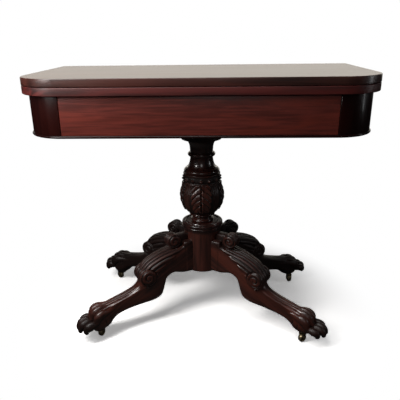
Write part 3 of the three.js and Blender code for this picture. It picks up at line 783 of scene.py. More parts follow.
@dataclass
class Workshop:
    """Makes Blender pieces from surfaces, and keeps one material for each finish."""

    frame: dict
    materials: dict[str, bpy.types.Material] = field(default_factory=dict)

    def material_of(self, finish: Finish) -> bpy.types.Material:
        """The finish's material, built once.

        Args:
            finish: the finish.

        Returns:
            The material.
        """
        if finish.name not in self.materials:
            self.materials[finish.name] = finish.material()
        return self.materials[finish.name]

    @staticmethod
    def mesh_of(name: str, surface: Surface, crease: float) -> bpy.types.Mesh:
        """Writes a surface into a mesh, smooth except along edges sharper than the crease.

        Args:
            name: the mesh's name.
            surface: the surface.
            crease: the crease's angle in degrees.

        Returns:
            The mesh.
        """
        mesh = bpy.data.meshes.new(name)
        corners = np.concatenate([group.reshape(-1) for group in surface.faces])
        sizes = np.concatenate([np.full(len(g), g.shape[1]) for g in surface.faces])
        mesh.vertices.add(len(surface.points))
        mesh.loops.add(len(corners))
        mesh.polygons.add(len(sizes))
        mesh.vertices.foreach_set("co", surface.points.astype(np.float32).reshape(-1))
        mesh.loops.foreach_set("vertex_index", corners.astype(np.int32))
        starts = np.concatenate([[0], np.cumsum(sizes)[:-1]])
        mesh.polygons.foreach_set("loop_start", starts.astype(np.int32))
        # Each point's painted shade and grain, for the wood finishes
        recess = mesh.attributes.new("recess", "FLOAT", "POINT")
        recess.data.foreach_set("value", surface.recess.astype(np.float32))
        grain = mesh.attributes.new("grain", "FLOAT_VECTOR", "POINT")
        grain.data.foreach_set("vector", surface.grain.astype(np.float32).reshape(-1))
        mesh.update(calc_edges=True)
        mesh.validate()
        mesh.shade_smooth()
        mesh.set_sharp_from_angle(angle=math.radians(crease))
        return mesh

    def piece(
        self, name: str, surface: Surface, finish: Finish, node: str,
        body: str = Body.BASE.value, crease: float = CREASE, cuts: Sequence[Surface] = (),
    ) -> None:
        """Makes one piece of the table.

        Args:
            name: the piece's name.
            surface: its shape, in place.
            finish: its finish.
            node: the CAD node that it stands for.
            body: the body that it rides on.
            crease: the angle past which its edges stay sharp, in degrees.
            cuts: closed surfaces that are cut out of it.
        """
        piece = placed(name, self.mesh_of(name, surface, crease))
        if cuts:
            self._cut(piece, cuts, crease)
        piece.data.materials.clear()
        piece.data.materials.append(self.material_of(finish))
        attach(piece, body)
        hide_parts(node)
        log.info("%s: %d points, rides on %s", name, len(piece.data.vertices), body)

    def _cut(self, piece: bpy.types.Object, cuts: Sequence[Surface], crease: float) -> None:
        """Cuts closed surfaces out of a piece and keeps the result as its mesh.

        Args:
            piece: the piece.
            cuts: the surfaces.
            crease: the angle past which the piece's edges stay sharp, in degrees.
        """
        tools = []
        for number, surface in enumerate(cuts):
            tool = placed(f"cut_{number}", self.mesh_of("cut", surface, CREASE))
            cut = piece.modifiers.new(f"cut_{number}", "BOOLEAN")
            cut.operation = "DIFFERENCE"
            cut.solver = "EXACT"
            cut.object = tool
            tools.append(tool)
        graph = bpy.context.evaluated_depsgraph_get()
        mesh = bpy.data.meshes.new_from_object(piece.evaluated_get(graph))
        mesh.set_sharp_from_angle(angle=math.radians(crease))
        piece.modifiers.clear()
        piece.data = mesh
        for tool in tools:
            bpy.data.objects.remove(tool)

    def dress(self, nodes: Sequence[str], finish: Finish) -> None:
        """Gives CAD nodes that stay as they are a finish.

        Args:
            nodes: the nodes' names.
            finish: the finish.
        """
        for name in nodes:
            data = self.frame["nodes"][name].data
            data.materials.clear()
            data.materials.append(self.material_of(finish))
            log.info("%s: CAD node with the finish %s", name, finish.name)


# Boards and plan outlines


def along_y(points: np.ndarray) -> np.ndarray:
    """Grain coordinates for a board whose grain runs along Y."""
    return points[..., [1, 0, 2]]


def along_z(points: np.ndarray) -> np.ndarray:
    """Grain coordinates for a board whose grain runs upright."""
    return points[..., [2, 0, 1]]


def edge_profile(low: float, high: float, radius: float, steps: int = 5) -> np.ndarray:
    """Inset and level up the edge of a board with rounded arrises.

    Each arris is a quarter circle: its inset falls from the radius to 0 by one less the
    sine, and its level rises by one less the cosine.

    Args:
        low: the underside's level.
        high: the top's level.
        radius: the arris's radius.
        steps: how many steps in each arris.

    Returns:
        Rows of inset and level, from the underside up.
    """
    angle = np.linspace(0.0, math.pi / 2, steps + 1)
    inset = radius * (1.0 - np.sin(angle))
    rise = radius * (1.0 - np.cos(angle))
    lower = np.stack([inset, low + rise], axis=-1)
    upper = np.stack([inset, high - rise], axis=-1)[::-1]
    return np.concatenate([lower, upper])


def rounded_front(
    half_x: float, front: float, back: float, radius: float, inset: float
) -> np.ndarray:
    """The leaf's outline in plan: two round front corners and two square back ones.

    Args:
        half_x: half the leaf's length.
        front: the front edge's Y.
        back: the back edge's Y.
        radius: the corners' radius.
        inset: how far the outline is drawn in.

    Returns:
        Rows of X and Y, round the outline.
    """
    angle = np.linspace(math.pi, 1.5 * math.pi, LEAF_CORNER_POINTS)
    turn = np.stack([np.cos(angle), np.sin(angle)], axis=-1) * (radius - inset)
    left = turn + np.array([-half_x + radius, front + radius])
    right = (turn * np.array([-1.0, 1.0]) + np.array([half_x - radius, front + radius]))[::-1]
    corners = np.array([[half_x - inset, back - inset], [-half_x + inset, back - inset]])
    return np.concatenate([left, right, corners])


def rectangle(low: np.ndarray, high: np.ndarray, inset: float, chamfer: float) -> np.ndarray:
    """A rectangle in plan with its four corners cut off.

    Args:
        low: the lowest X and Y.
        high: the highest X and Y.
        inset: how far it is drawn in.
        chamfer: how much each corner loses.

    Returns:
        Rows of X and Y.
    """
    x0, y0 = low[0] + inset, low[1] + inset
    x1, y1, c = high[0] - inset, high[1] - inset, chamfer
    return np.array([
        [x0 + c, y0], [x1 - c, y0], [x1, y0 + c], [x1, y1 - c],
        [x1 - c, y1], [x0 + c, y1], [x0, y1 - c], [x0, y0 + c],
    ])


def stacked(outlines: Sequence[np.ndarray], levels: Sequence[float]) -> np.ndarray:
    """Plan outlines at their levels, as rings of points."""
    rings = [np.column_stack([xy, np.full(len(xy), z)]) for xy, z in zip(outlines, levels)]
    return np.stack(rings)


def block(low: np.ndarray, high: np.ndarray, radius: float, chamfer: float) -> np.ndarray:
    """Rings of a board between two corners, with rounded arrises and cut corners.

    Args:
        low: the lowest corner.
        high: the highest corner.
        radius: the arrises' radius.
        chamfer: how much each upright corner loses.

    Returns:
        The rings.
    """
    profile = edge_profile(low[2], high[2], radius, 3)
    outlines = [rectangle(low[:2], high[:2], inset, chamfer) for inset, _ in profile]
    return stacked(outlines, profile[:, 1])


def quarter(margin: float, steps: int) -> np.ndarray:
    """Directions in plan over the right front quarter, less a margin at each end."""
    angle = np.linspace(-math.pi / 2 + margin, -margin, steps)
    return np.stack([np.cos(angle), np.sin(angle)], axis=-1)


def from_centre(rings: np.ndarray, centre: np.ndarray) -> np.ndarray:
    """The distance in plan of each point from a centre."""
    return np.hypot(rings[..., 0] - centre[0], rings[..., 1] - centre[1])


@dataclass
class FoldingTop:
    """The two leaves with their hinges, and the pivot that the lower leaf turns on."""

    corner_radius: float = 0.117
    arris: float = 1.8 * MM
    hinge_clearance: float = 0.3 * MM
    cut_reach: float = 6 * MM
    cut_arris: float = 0.02 * MM
    bolt_share: float = 0.37
    bolt_head_depth: float = 4.3 * MM
    round_steps: int = 48
    border: float = 4 * MM

    def leaf(self, node: str) -> Surface:
        """A leaf's board: its plan outline drawn in along the rounded edge profile.

        A last ring inside each arris keeps the wide faces flat in the light.

        Args:
            node: the leaf's CAD node.

        Returns:
            The leaf, before its cuts.
        """
        box = NodeBox.of(node)
        inset = self.arris + self.border
        profile = np.concatenate([
            np.array([[inset, box.low[2]]]),
            edge_profile(box.low[2], box.high[2], self.arris),
            np.array([[inset, box.high[2]]]),
        ])
        half, front, back = box.high[0], box.low[1], box.high[1]
        outlines = [
            rounded_front(half, front, back, self.corner_radius, inset) for inset, _ in profile
        ]
        return capped(stacked(outlines, profile[:, 1]))

    def hinge_cut(self, leaf: str, hand: Hand) -> Surface:
        """The room for one hinge plate and for the hinge's eye, cut out of a leaf's end.

        Args:
            leaf: the leaf, lower or upper.
            hand: the end of the leaf.

        Returns:
            The cut.
        """
        box = NodeBox.of(f"hinge_{leaf}_plate_{hand.label}")
        pin = NodeBox.of(f"hinge_pin_{hand.label}").middle
        gap, reach = self.hinge_clearance, self.cut_reach
        ends = sorted([abs(box.low[0]), abs(box.high[0])])
        xs = sorted([hand.value * (ends[0] - gap), hand.value * (ends[1] + reach)])
        above = box.middle[2] > pin[2]
        low = (pin[2] if above else box.low[2]) - gap
        high = (box.high[2] if above else pin[2]) + gap
        return capped(block(
            np.array([xs[0], box.low[1] - gap, low]), np.array([xs[1], pin[1] + reach, high]),
            self.cut_arris, self.cut_arris,
        ))

    def bolt_cut(self) -> Surface:
        """The stepped hole for the pivot bolt and its head.

        Returns:
            The cut.
        """
        bolt, washer = NodeBox.of("pivot_bolt"), NodeBox.of("pivot_washer")
        head_radius = bolt.size[0] / 2 + self.hinge_clearance
        shank_radius = washer.size[0] / 2 * self.bolt_share
        head_low = bolt.high[2] - self.bolt_head_depth
        profile = np.array([
            [shank_radius, bolt.low[2]],
            [shank_radius, head_low],
            [head_radius, head_low],
            [head_radius, bolt.high[2] + self.cut_reach],
        ])
        rings = lathe(profile, self.round_steps)
        rings[..., :2] += bolt.middle[:2]
        return capped(rings)

    def build(self, shop: Workshop) -> None:
        """Makes the leaves and dresses the hinges and the pivot.

        Args:
            shop: the workshop.
        """
        for leaf, finish, body, holes in (
            ("lower", LOWER_TOP_FINISH, Body.TURNING_LEAF, [self.bolt_cut()]),
            ("upper", TOP_FINISH, Body.FOLDING_LEAF, []),
        ):
            node = f"{leaf}_leaf"
            cuts = holes + [self.hinge_cut(leaf, hand) for hand in Hand]
            shop.piece(f"{node}_board", self.leaf(node), finish, node, body.value, cuts=cuts)
        plates = [f"hinge_{part}_{hand.label}" for part in ("lower_plate", "upper_plate", "pin")
                  for hand in Hand]
        shop.dress(plates, BRASS_FINISH)
        shop.dress(["pivot_bolt", "pivot_washer", "pivot_nut"], IRON_FINISH)


@dataclass
class ApronFrame:
    """The veneered frame under the leaves, its round corners and the bead below it."""

    joint: float = 1.3 * MM
    seam: float = 0.15 * MM
    arris: float = 0.5 * MM
    arris_steps: int = 3
    bead_height: float = 7 * MM
    bead_proud: float = 3.5 * MM
    corner_steps: int = 36
    hidden: tuple[str, ...] = (
        "rear_rail", "column_bearer", "well_board", "well_divider", "pivot_board",
        "glue_block_left", "glue_block_right",
    )

    def rail(self, node: str, on_side: bool) -> Surface:
        """A rail, its upright corners cut off; a side rail's veneer runs along Y.

        Args:
            node: the rail's CAD node.
            on_side: whether it is a side rail.

        Returns:
            The rail.
        """
        box = NodeBox.of(node)
        rings = block(box.low, box.high, self.arris, self.joint)
        return capped(rings, along_y(rings) if on_side else None)

    def corner_outline(self, inner: float, outer: float, inset: float) -> np.ndarray:
        """A quarter ring in plan about the origin, for the right corner, with cut arrises.

        Args:
            inner: the inner radius.
            outer: the outer radius.
            inset: how far it is drawn in.

        Returns:
            Rows of X and Y.
        """
        gap, cut = self.seam + inset, self.joint
        outer_r, inner_r = outer - inset, inner + inset
        turned_back = math.asin((gap + cut) / outer_r)
        arc = quarter(turned_back, self.corner_steps) * outer_r
        inner_arc = quarter(math.asin(gap / inner_r), self.corner_steps)[::-1] * inner_r
        first = np.array([[gap, -(outer_r - cut)]])
        last = np.array([[outer_r - cut, -gap]])
        return np.concatenate([first, arc, last, inner_arc])

    def corner_place(self, node: str) -> tuple[NodeBox, float, np.ndarray]:
        """A right corner node's box, its outer radius and its centre in plan.

        Args:
            node: the CAD node.

        Returns:
            The box, the radius and the centre.
        """
        box = NodeBox.of(node)
        centre = np.array([box.low[0] - self.seam, box.high[1] + self.seam])
        return box, box.size[0] + self.seam, centre

    def corner(self) -> Surface:
        """The right front corner block, its grain upright.

        Returns:
            The block.
        """
        box, outer, centre = self.corner_place("corner_block_right")
        inner = outer - NodeBox.of("front_rail").size[1]
        profile = edge_profile(box.low[2], box.high[2], self.arris, self.arris_steps)
        outlines = [self.corner_outline(inner, outer, inset) + centre for inset, _ in profile]
        rings = stacked(outlines, profile[:, 1])
        # The upright grain wraps the corner: its second axis is the length along the face
        angle = np.arctan2(rings[..., 1] - centre[1], rings[..., 0] - centre[0])
        grain = [rings[..., 2], angle * outer, from_centre(rings, centre)]
        return capped(rings, np.stack(grain, axis=-1))

    def bead_section(self, depth: float) -> np.ndarray:
        """The bead's section, its nose as deep as given: rows of depth and height."""
        front = half_round(depth - self.bead_height / 2, depth, 0.0, self.bead_height)
        return np.concatenate([np.array([[0.0, 0.0]]), front, np.array([[0.0, self.bead_height]])])

    @staticmethod
    def carried(
        section: np.ndarray, origins: np.ndarray, outward: np.ndarray, low: float
    ) -> np.ndarray:
        """A section carried along a path in plan: origin plus depth times outward.

        Args:
            section: rows of depth and height.
            origins: the path's points, X and Y.
            outward: the outward direction at each point.
            low: the level of the section's foot.

        Returns:
            Rings of points.
        """
        depth, height = section[:, 0], section[:, 1]
        plan = origins[:, None, :] + depth[None, :, None] * outward[:, None, :]
        level = np.broadcast_to(low + height, plan.shape[:2])[..., None]
        return np.concatenate([plan, level], axis=-1)

    def bead_run(self, node: str, outward: tuple[float, float]) -> Surface:
        """A straight bead, filling its CAD node's length.

        Args:
            node: the bead's CAD node.
            outward: the direction of its nose.

        Returns:
            The bead.
        """
        box = NodeBox.of(node)
        out = np.array(outward)
        section = self.bead_section(float(abs(box.size[:2] @ out)))
        start = np.where(out < 0, box.high[:2], box.low[:2])
        end = np.where(out == 0, box.high[:2], start)
        rings = self.carried(section, np.stack([start, end]), np.stack([out, out]), box.low[2])
        return capped(rings, along_y(rings) if out[1] == 0 else None)

    def bead_corner(self) -> Surface:
        """The bead round the right front corner, turned about the corner's centre.

        Returns:
            The bead.
        """
        box, outer, centre = self.corner_place("corner_bead_right")
        inner = outer - NodeBox.of("front_rail").size[1] - self.bead_proud
        gap = math.asin(self.seam / inner)
        outward = quarter(gap, self.corner_steps)
        angle = np.linspace(-math.pi / 2 + gap, -gap, self.corner_steps)
        section = self.bead_section(outer - inner)
        rings = self.carried(section, centre + outward * inner, outward, box.low[2])
        length = np.broadcast_to(angle[:, None] * outer, rings.shape[:2])
        grain = [length, rings[..., 2], from_centre(rings, centre)]
        return capped(rings, np.stack(grain, axis=-1))

    def build(self, shop: Workshop) -> None:
        """Makes the rails, corners and beads, and dresses the boards inside.

        Args:
            shop: the workshop.
        """
        shop.piece("front_panel", self.rail("front_rail", False), PANEL_FINISH, "front_rail")
        run = self.bead_run("front_bead", (0.0, -1.0))
        shop.piece("front_edge_bead", run, CORNER_FINISH, "front_bead")
        corner, bead = self.corner(), self.bead_corner()
        for hand in Hand:
            side, rail = hand.label, f"{hand.label}_rail"
            on_right = hand is Hand.RIGHT
            near, edge = (part if on_right else part.mirrored() for part in (corner, bead))
            shop.piece(f"side_panel_{side}", self.rail(rail, True), PANEL_FINISH, rail)
            shop.piece(f"round_corner_{side}", near, CORNER_FINISH, f"corner_block_{side}")
            shop.piece(f"corner_edge_bead_{side}", edge, CORNER_FINISH, f"corner_bead_{side}")
            run = self.bead_run(f"side_bead_{side}", (float(hand.value), 0.0))
            shop.piece(f"side_edge_bead_{side}", run, CORNER_FINISH, f"side_bead_{side}")
        shop.dress(self.hidden, SECONDARY_FINISH)


@dataclass
class CarvedColumn:
    """The turned column with its carved bulb, and the disc and drum under it."""

    tenon_radius: float = 0.024
    cap_radius: float = 0.064
    cap_fillet_radius: float = 0.059
    flare_radius: float = 0.052
    neck_radius: float = 0.0348
    neck_ring_radius: float = 0.041
    shoulder_neck_radius: float = 0.0336
    shoulder_radius: float = 0.048
    collar_radius: float = 0.0535
    knob_radius: float = 0.0575
    bulb_radius: float = 0.0625
    bulb_top_radius: float = 0.0545
    bulb_foot_radius: float = 0.0375
    foot_ring_radius: float = 0.0395
    foot_neck_radius: float = 0.0305
    foot_torus_radius: float = 0.0355
    spigot_radius: float = 0.020
    spigot_depth: float = 0.045
    # Levels of the turning, from its foot to the capital block, as shares of that length
    foot_torus_share: float = 0.0310
    foot_neck_share: float = 0.0641
    foot_ring_share: float = 0.0990
    bulb_widest_share: float = 0.2870
    bulb_share: float = 0.4458
    knob_share: float = 0.5364
    collar_share: float = 0.5835
    shoulder_share: float = 0.7107
    neck_ring_share: float = 0.7560
    neck_share: float = 0.7978
    flare_share: float = 0.8937
    fillet_share: float = 0.9512
    leaf_count: int = 4
    lobes: float = 4.8
    leaf_half_width: float = 0.0275
    leaf_height: float = 1.7 * MM
    lobe_height: float = 4.0 * MM
    knob_count: int = 14
    knob_height: float = 4.0 * MM
    knob_size: float = 4.3 * MM
    knob_gap: float = 2.2 * MM
    knob_place: float = 0.4
    # A leaf's width at its top and how much wider its belly is, as shares of the half width
    leaf_shoulder: float = 0.86
    leaf_belly: float = 0.26
    # How steeply the lobes slope, how far the right ones are moved up and the left ones down,
    # the share of their pitch that they fill, and how far the edge draws in between them
    lobe_slope: float = 0.30
    lobe_offset: float = 0.25
    lobe_fill: float = 0.95
    edge_notch: float = 0.17
    # A lobe's height along it: what it has throughout, and what its tip beside the midrib
    # and its outer end add
    flat_swelling: float = 0.62
    tip_swelling: float = 0.38
    edge_swelling: float = 0.3
    relief_taper: float = 0.4
    hem_share: float = 0.11
    hem_waves: int = 6
    hem_depth: float = 0.05
    leaf_curl: float = 0.8 * MM
    leaf_edge: float = 1.4 * MM
    midrib_width: float = 1.5 * MM
    midrib_depth: float = 1.2 * MM
    tip_place: float = 4.0 * MM
    tip_width: float = 2.4 * MM
    # Where the carving is lower than this, it gets painted shade
    hollow_height: float = 2.2 * MM
    # The narrow leaves between: the width that tapers off downwards, the width that stays,
    # how much tapers and where it ends, the edge's softness, and the flutes
    narrow_width: float = 11 * MM
    narrow_margin: float = 4 * MM
    narrow_taper: float = 0.6
    narrow_end: float = 0.93
    narrow_edge: float = 1.2 * MM
    narrow_height: float = 0.6 * MM
    flute_height: float = 1.0 * MM
    flute_pitch: float = 7 * MM
    seat: float = 0.3 * MM
    groove: float = 1.4 * MM
    lip: float = 1.2 * MM
    disc_fillet: float = 3 * MM
    disc_step: float = 6 * MM
    disc_bead_low: float = 7.5 * MM
    disc_bead_high: float = 13 * MM
    disc_bead: float = 1 * MM
    disc_inner: float = 0.025
    disc_ring: float = 1.8 * MM
    # How dark the painted shade over the bulb is, and how much of it the lobes and the knobs lose,
    # which lightens them as a painted highlight
    bulb_wax: float = 0.48
    leaf_polish: float = 0.35
    knob_polish: float = 0.45
    bulb_crease: float = 50.0
    cap_arris: float = 0.8 * MM
    bead_points: int = 9
    swell_points: int = 60
    band_points: int = 31
    wide_around: int = 128
    carved_rows: int = 230
    carved_around: int = 420

    def __post_init__(self) -> None:
        """Reads the column's place from the frame."""
        self.foot = float(NodeBox.of("disc").high[2]) + self.seat
        self.top = float(NodeBox.of("capital_block").low[2]) - self.seat
        self.tenon_top = float(NodeBox.of("column").high[2])

    def level(self, share: float) -> float:
        """The level at a share of the turned length."""
        return self.foot + (self.top - self.foot) * share

    def upper(self) -> Surface:
        """The plain turning from the collar up to the capital block, with its tenon.

        Returns:
            The turning.
        """
        groove = self.groove
        inner = self.shoulder_radius - groove
        knobs, collar, shoulder, ring, neck, flare, fillet = (self.level(share) for share in (
            self.knob_share, self.collar_share, self.shoulder_share, self.neck_ring_share,
            self.neck_share, self.flare_share, self.fillet_share,
        ))
        profile = np.concatenate([
            np.array([[inner, knobs - 6 * groove]]),
            half_round(inner, self.collar_radius, knobs, collar),
            np.array([[inner, collar + groove]]),
            swell([self.shoulder_radius, collar + groove],
                  [self.shoulder_neck_radius, shoulder], (False, True)),
            half_round(self.shoulder_neck_radius, self.neck_ring_radius, shoulder, ring),
            swell([self.neck_radius, neck], [self.flare_radius, flare], (True, False)),
            np.array([
                [self.cap_fillet_radius, flare],
                [self.cap_fillet_radius, fillet],
                [self.cap_radius, (fillet + self.top) / 2],
                [self.cap_radius, self.top],
                [self.tenon_radius, self.top],
                [self.tenon_radius, self.tenon_top],
            ]),
        ])
        rings = lathe(profile)
        return skin(rings, None, along_z(rings))

    def lower(self) -> Surface:
        """The turned foot with its rings and the spigot that goes through the disc.

        Returns:
            The turning.
        """
        torus, waist, ring = (self.level(share) for share in (
            self.foot_torus_share, self.foot_neck_share, self.foot_ring_share,
        ))
        neck = self.foot_neck_radius
        profile = np.concatenate([
            np.array([[self.spigot_radius, self.foot - self.spigot_depth],
                      [self.spigot_radius, self.foot]]),
            half_round(neck, self.foot_torus_radius, self.foot, torus),
            half_round(neck, neck - self.lip, torus, waist),
            half_round(neck, self.foot_ring_radius, waist, ring),
            np.array([[neck, ring + 2 * self.lip]]),
        ])
        rings = lathe(profile)
        return skin(rings, None, along_z(rings))

    def bulb(self) -> Surface:
        """The bulb, carved with four hanging leaves under a row of knobs.

        The turned surface is moved out along its normal by the height of the carving. On
        each leaf the lobes slope down and outwards from the midrib: their phase is the
        level less a share of the distance from the midrib. The leaf's edge draws in where
        the lobes meet, its tip rolls outwards at the hem, and narrow fluted leaves show
        in between.

        Returns:
            The carved surface.
        """
        level = self.level
        low, high = level(self.foot_ring_share), level(self.knob_share)
        leaf_top = level(self.bulb_share)
        profile = np.concatenate([
            swell([self.bulb_foot_radius, low], [self.bulb_radius, level(self.bulb_widest_share)],
                  (False, True), self.swell_points),
            swell([self.bulb_radius, level(self.bulb_widest_share)],
                  [self.bulb_top_radius, leaf_top], (True, True), self.swell_points)[1:],
            half_round(self.bulb_top_radius, self.knob_radius, leaf_top, high,
                       self.band_points)[1:],
        ])
        rings = lathe(even_profile(profile, self.carved_rows), self.carved_around)
        azimuth = np.arange(self.carved_around) / self.carved_around * FULL_TURN
        z = rings[..., 2]
        radius = np.hypot(rings[..., 0], rings[..., 1])
        sector = FULL_TURN / self.leaf_count
        own = np.mod(azimuth + sector / 2, sector) - sector / 2
        between = np.abs(np.mod(azimuth, sector) - sector / 2) * radius
        x = np.abs(own) * radius
        hem = low + (leaf_top - low) * self.hem_share
        down = (leaf_top - z) / (leaf_top - hem)
        belly = self.leaf_belly * np.sin(math.pi * np.clip(down, 0, 1) ** 0.8)
        half = self.leaf_half_width * (self.leaf_shoulder + belly)
        slope = self.lobe_slope * np.clip(x / half, 0, 1.2) ** 1.5
        phase = self.lobes * (down - slope) + self.lobe_offset * np.sign(own)
        lobe = ribbed(phase, self.lobe_fill)
        edge = half * (1.0 - self.edge_notch * (1.0 - lobe))
        below_top = ease(down, -0.02, 0.03)
        on_leaf = ease(edge - x, 0.0, self.leaf_edge) * below_top
        waves = ribbed(azimuth[None, :] / sector * self.hem_waves + 0.5)
        hem_wave = self.hem_depth * (1.0 - waves)
        on_leaf = on_leaf * ease(1.0 - hem_wave - down, 0.0, 0.02)
        reach = np.clip(x / half, 0.0, 1.0)
        curl = self.leaf_curl * ease(down, 0.72, 0.95)
        midrib = bell(x, self.midrib_width)
        swelling = self.flat_swelling + self.tip_swelling * bell(x - self.tip_place, self.tip_width)
        swelling = swelling + self.edge_swelling * ease(reach, 0.55, 0.95)
        lobes = self.lobe_height * lobe * swelling * (1.0 - midrib)
        relief = on_leaf * (self.leaf_height + lobes + curl - self.midrib_depth * midrib)
        taper = 1.0 - self.narrow_taper * np.clip(down, 0, 1) ** 2
        narrow = ease(self.narrow_width * taper + self.narrow_margin - between, 0.0,
                      self.narrow_edge)
        narrow = narrow * below_top * ease(self.narrow_end - down, 0.0, 0.03)
        relief = relief * (1.0 - self.relief_taper * ease(down, 0.6, 1.0))
        flutes = self.flute_height * ribbed(between / self.flute_pitch)
        relief = np.maximum(relief, narrow * (self.narrow_height + flutes))
        knob_level = (z - leaf_top) / (high - leaf_top)
        band = ease(knob_level, -0.1, 0.1) * ease(1.0 - knob_level, 0.0, 0.25)
        pitch = FULL_TURN / self.knob_count
        aside = (np.mod(azimuth + pitch / 2, pitch) - pitch / 2) * radius
        above = z - leaf_top - self.knob_place * (high - leaf_top)
        knob = np.exp(-((aside**2 + above**2) / self.knob_size**2))
        relief = relief + self.knob_height * knob - self.knob_gap * band * (1.0 - knob)
        # Painted shade where the carving lies low, in the midrib, between the lobes and between the
        # knobs
        recess = np.clip(1.0 - relief / self.hollow_height, 0.0, 1.0) * ease(down, -0.05, 0.05)
        recess = recess * ease(1.12 - down, 0.0, 0.1) * 0.8
        recess = np.maximum(recess, on_leaf * np.maximum(midrib, 1.0 - ease(lobe, 0.0, 0.65)))
        recess = np.maximum(recess, 0.9 * band * (1.0 - ease(knob, 0.1, 0.6)))
        # Painted shade over the whole bulb, lifted on the lobes and the knobs as a painted
        # highlight
        leaf_polish = self.leaf_polish * on_leaf * ease(lobe, 0.3, 0.9)
        highlighted = np.maximum(leaf_polish, self.knob_polish * knob * band)
        recess = np.maximum(recess, self.bulb_wax * (1.0 - highlighted))
        points = rings + grid_normals(rings) * relief[..., None]
        return skin(points, recess, along_z(points))

    def disc(self) -> Surface:
        """The disc between the column and the drum: two fillets, a bead and a rounded rim.

        Returns:
            The disc.
        """
        box = NodeBox.of("disc")
        widest, low, high = box.size[0] / 2, box.low[2], box.high[2]
        sunk, step = high - self.disc_ring, low + self.disc_step
        bead_low, bead_high = low + self.disc_bead_low, low + self.disc_bead_high
        shoulder = widest - self.disc_fillet / 2
        # The top's rings: how far in each turn lies, in ring depths, and whether it is sunk
        turns = ((3, True), (3.4, False), (6, False), (6.6, True), (8.4, True), (9, False))
        profile = np.concatenate([
            np.array([
                [widest - self.disc_fillet, low], [widest - self.disc_fillet, step],
                [shoulder, step],
            ]),
            half_round(shoulder, widest + self.disc_bead, bead_low, bead_high, self.bead_points),
            half_round(shoulder, widest, bead_high, sunk, self.bead_points),
            np.array([[widest - place * self.disc_ring, sunk if is_sunk else high]
                      for place, is_sunk in turns]),
            np.array([[widest - self.disc_inner, high]]),
        ])
        rings = lathe(profile, self.wide_around)
        return skin(rings, None, rings)

    def drum(self) -> Surface:
        """The drum that the legs are let into, with a dished underside.

        Returns:
            The drum.
        """
        box = NodeBox.of("drum")
        radius = box.size[0] / 2
        profile = np.array([
            [radius * 0.5, box.low[2] + 1.0 * MM], [radius - 1.5 * MM, box.low[2] + 4.0 * MM],
            [radius, box.low[2] + 5.5 * MM], [radius, box.high[2]],
        ])
        rings = lathe(profile, self.wide_around)
        return skin(rings, None, along_z(rings))

    def build(self, shop: Workshop) -> None:
        """Makes the column's pieces.

        Args:
            shop: the workshop.
        """
        cap = NodeBox.of("capital_block")
        board = capped(block(cap.low, cap.high, self.cap_arris, self.cap_arris))
        shop.piece("column_neck", self.upper(), TURNED_FINISH, "column")
        shop.piece("column_bulb", self.bulb(), CARVED_FINISH, "column", crease=self.bulb_crease)
        shop.piece("column_foot", self.lower(), TURNED_FINISH, "column")
        shop.piece("column_disc", self.disc(), TURNED_FINISH, "disc")
        shop.piece("leg_drum", self.drum(), CARVED_FINISH, "drum")
        shop.piece("capital_board", board, CORNER_FINISH, "capital_block")


@dataclass(frozen=True)
class Scroll:
    """One scroll of a leg: where it lies, how large it is, its spiral and its edge's ribs.

    The centre lies in the leg's plane and half is half the length across the leg. The
    spiral has so many turns and starts at an angle given in turns. The pitch is the ribs'.
    """

    centre: tuple[float, float]
    radius: float
    half: float
    turns: float
    start: float
    pitch: float


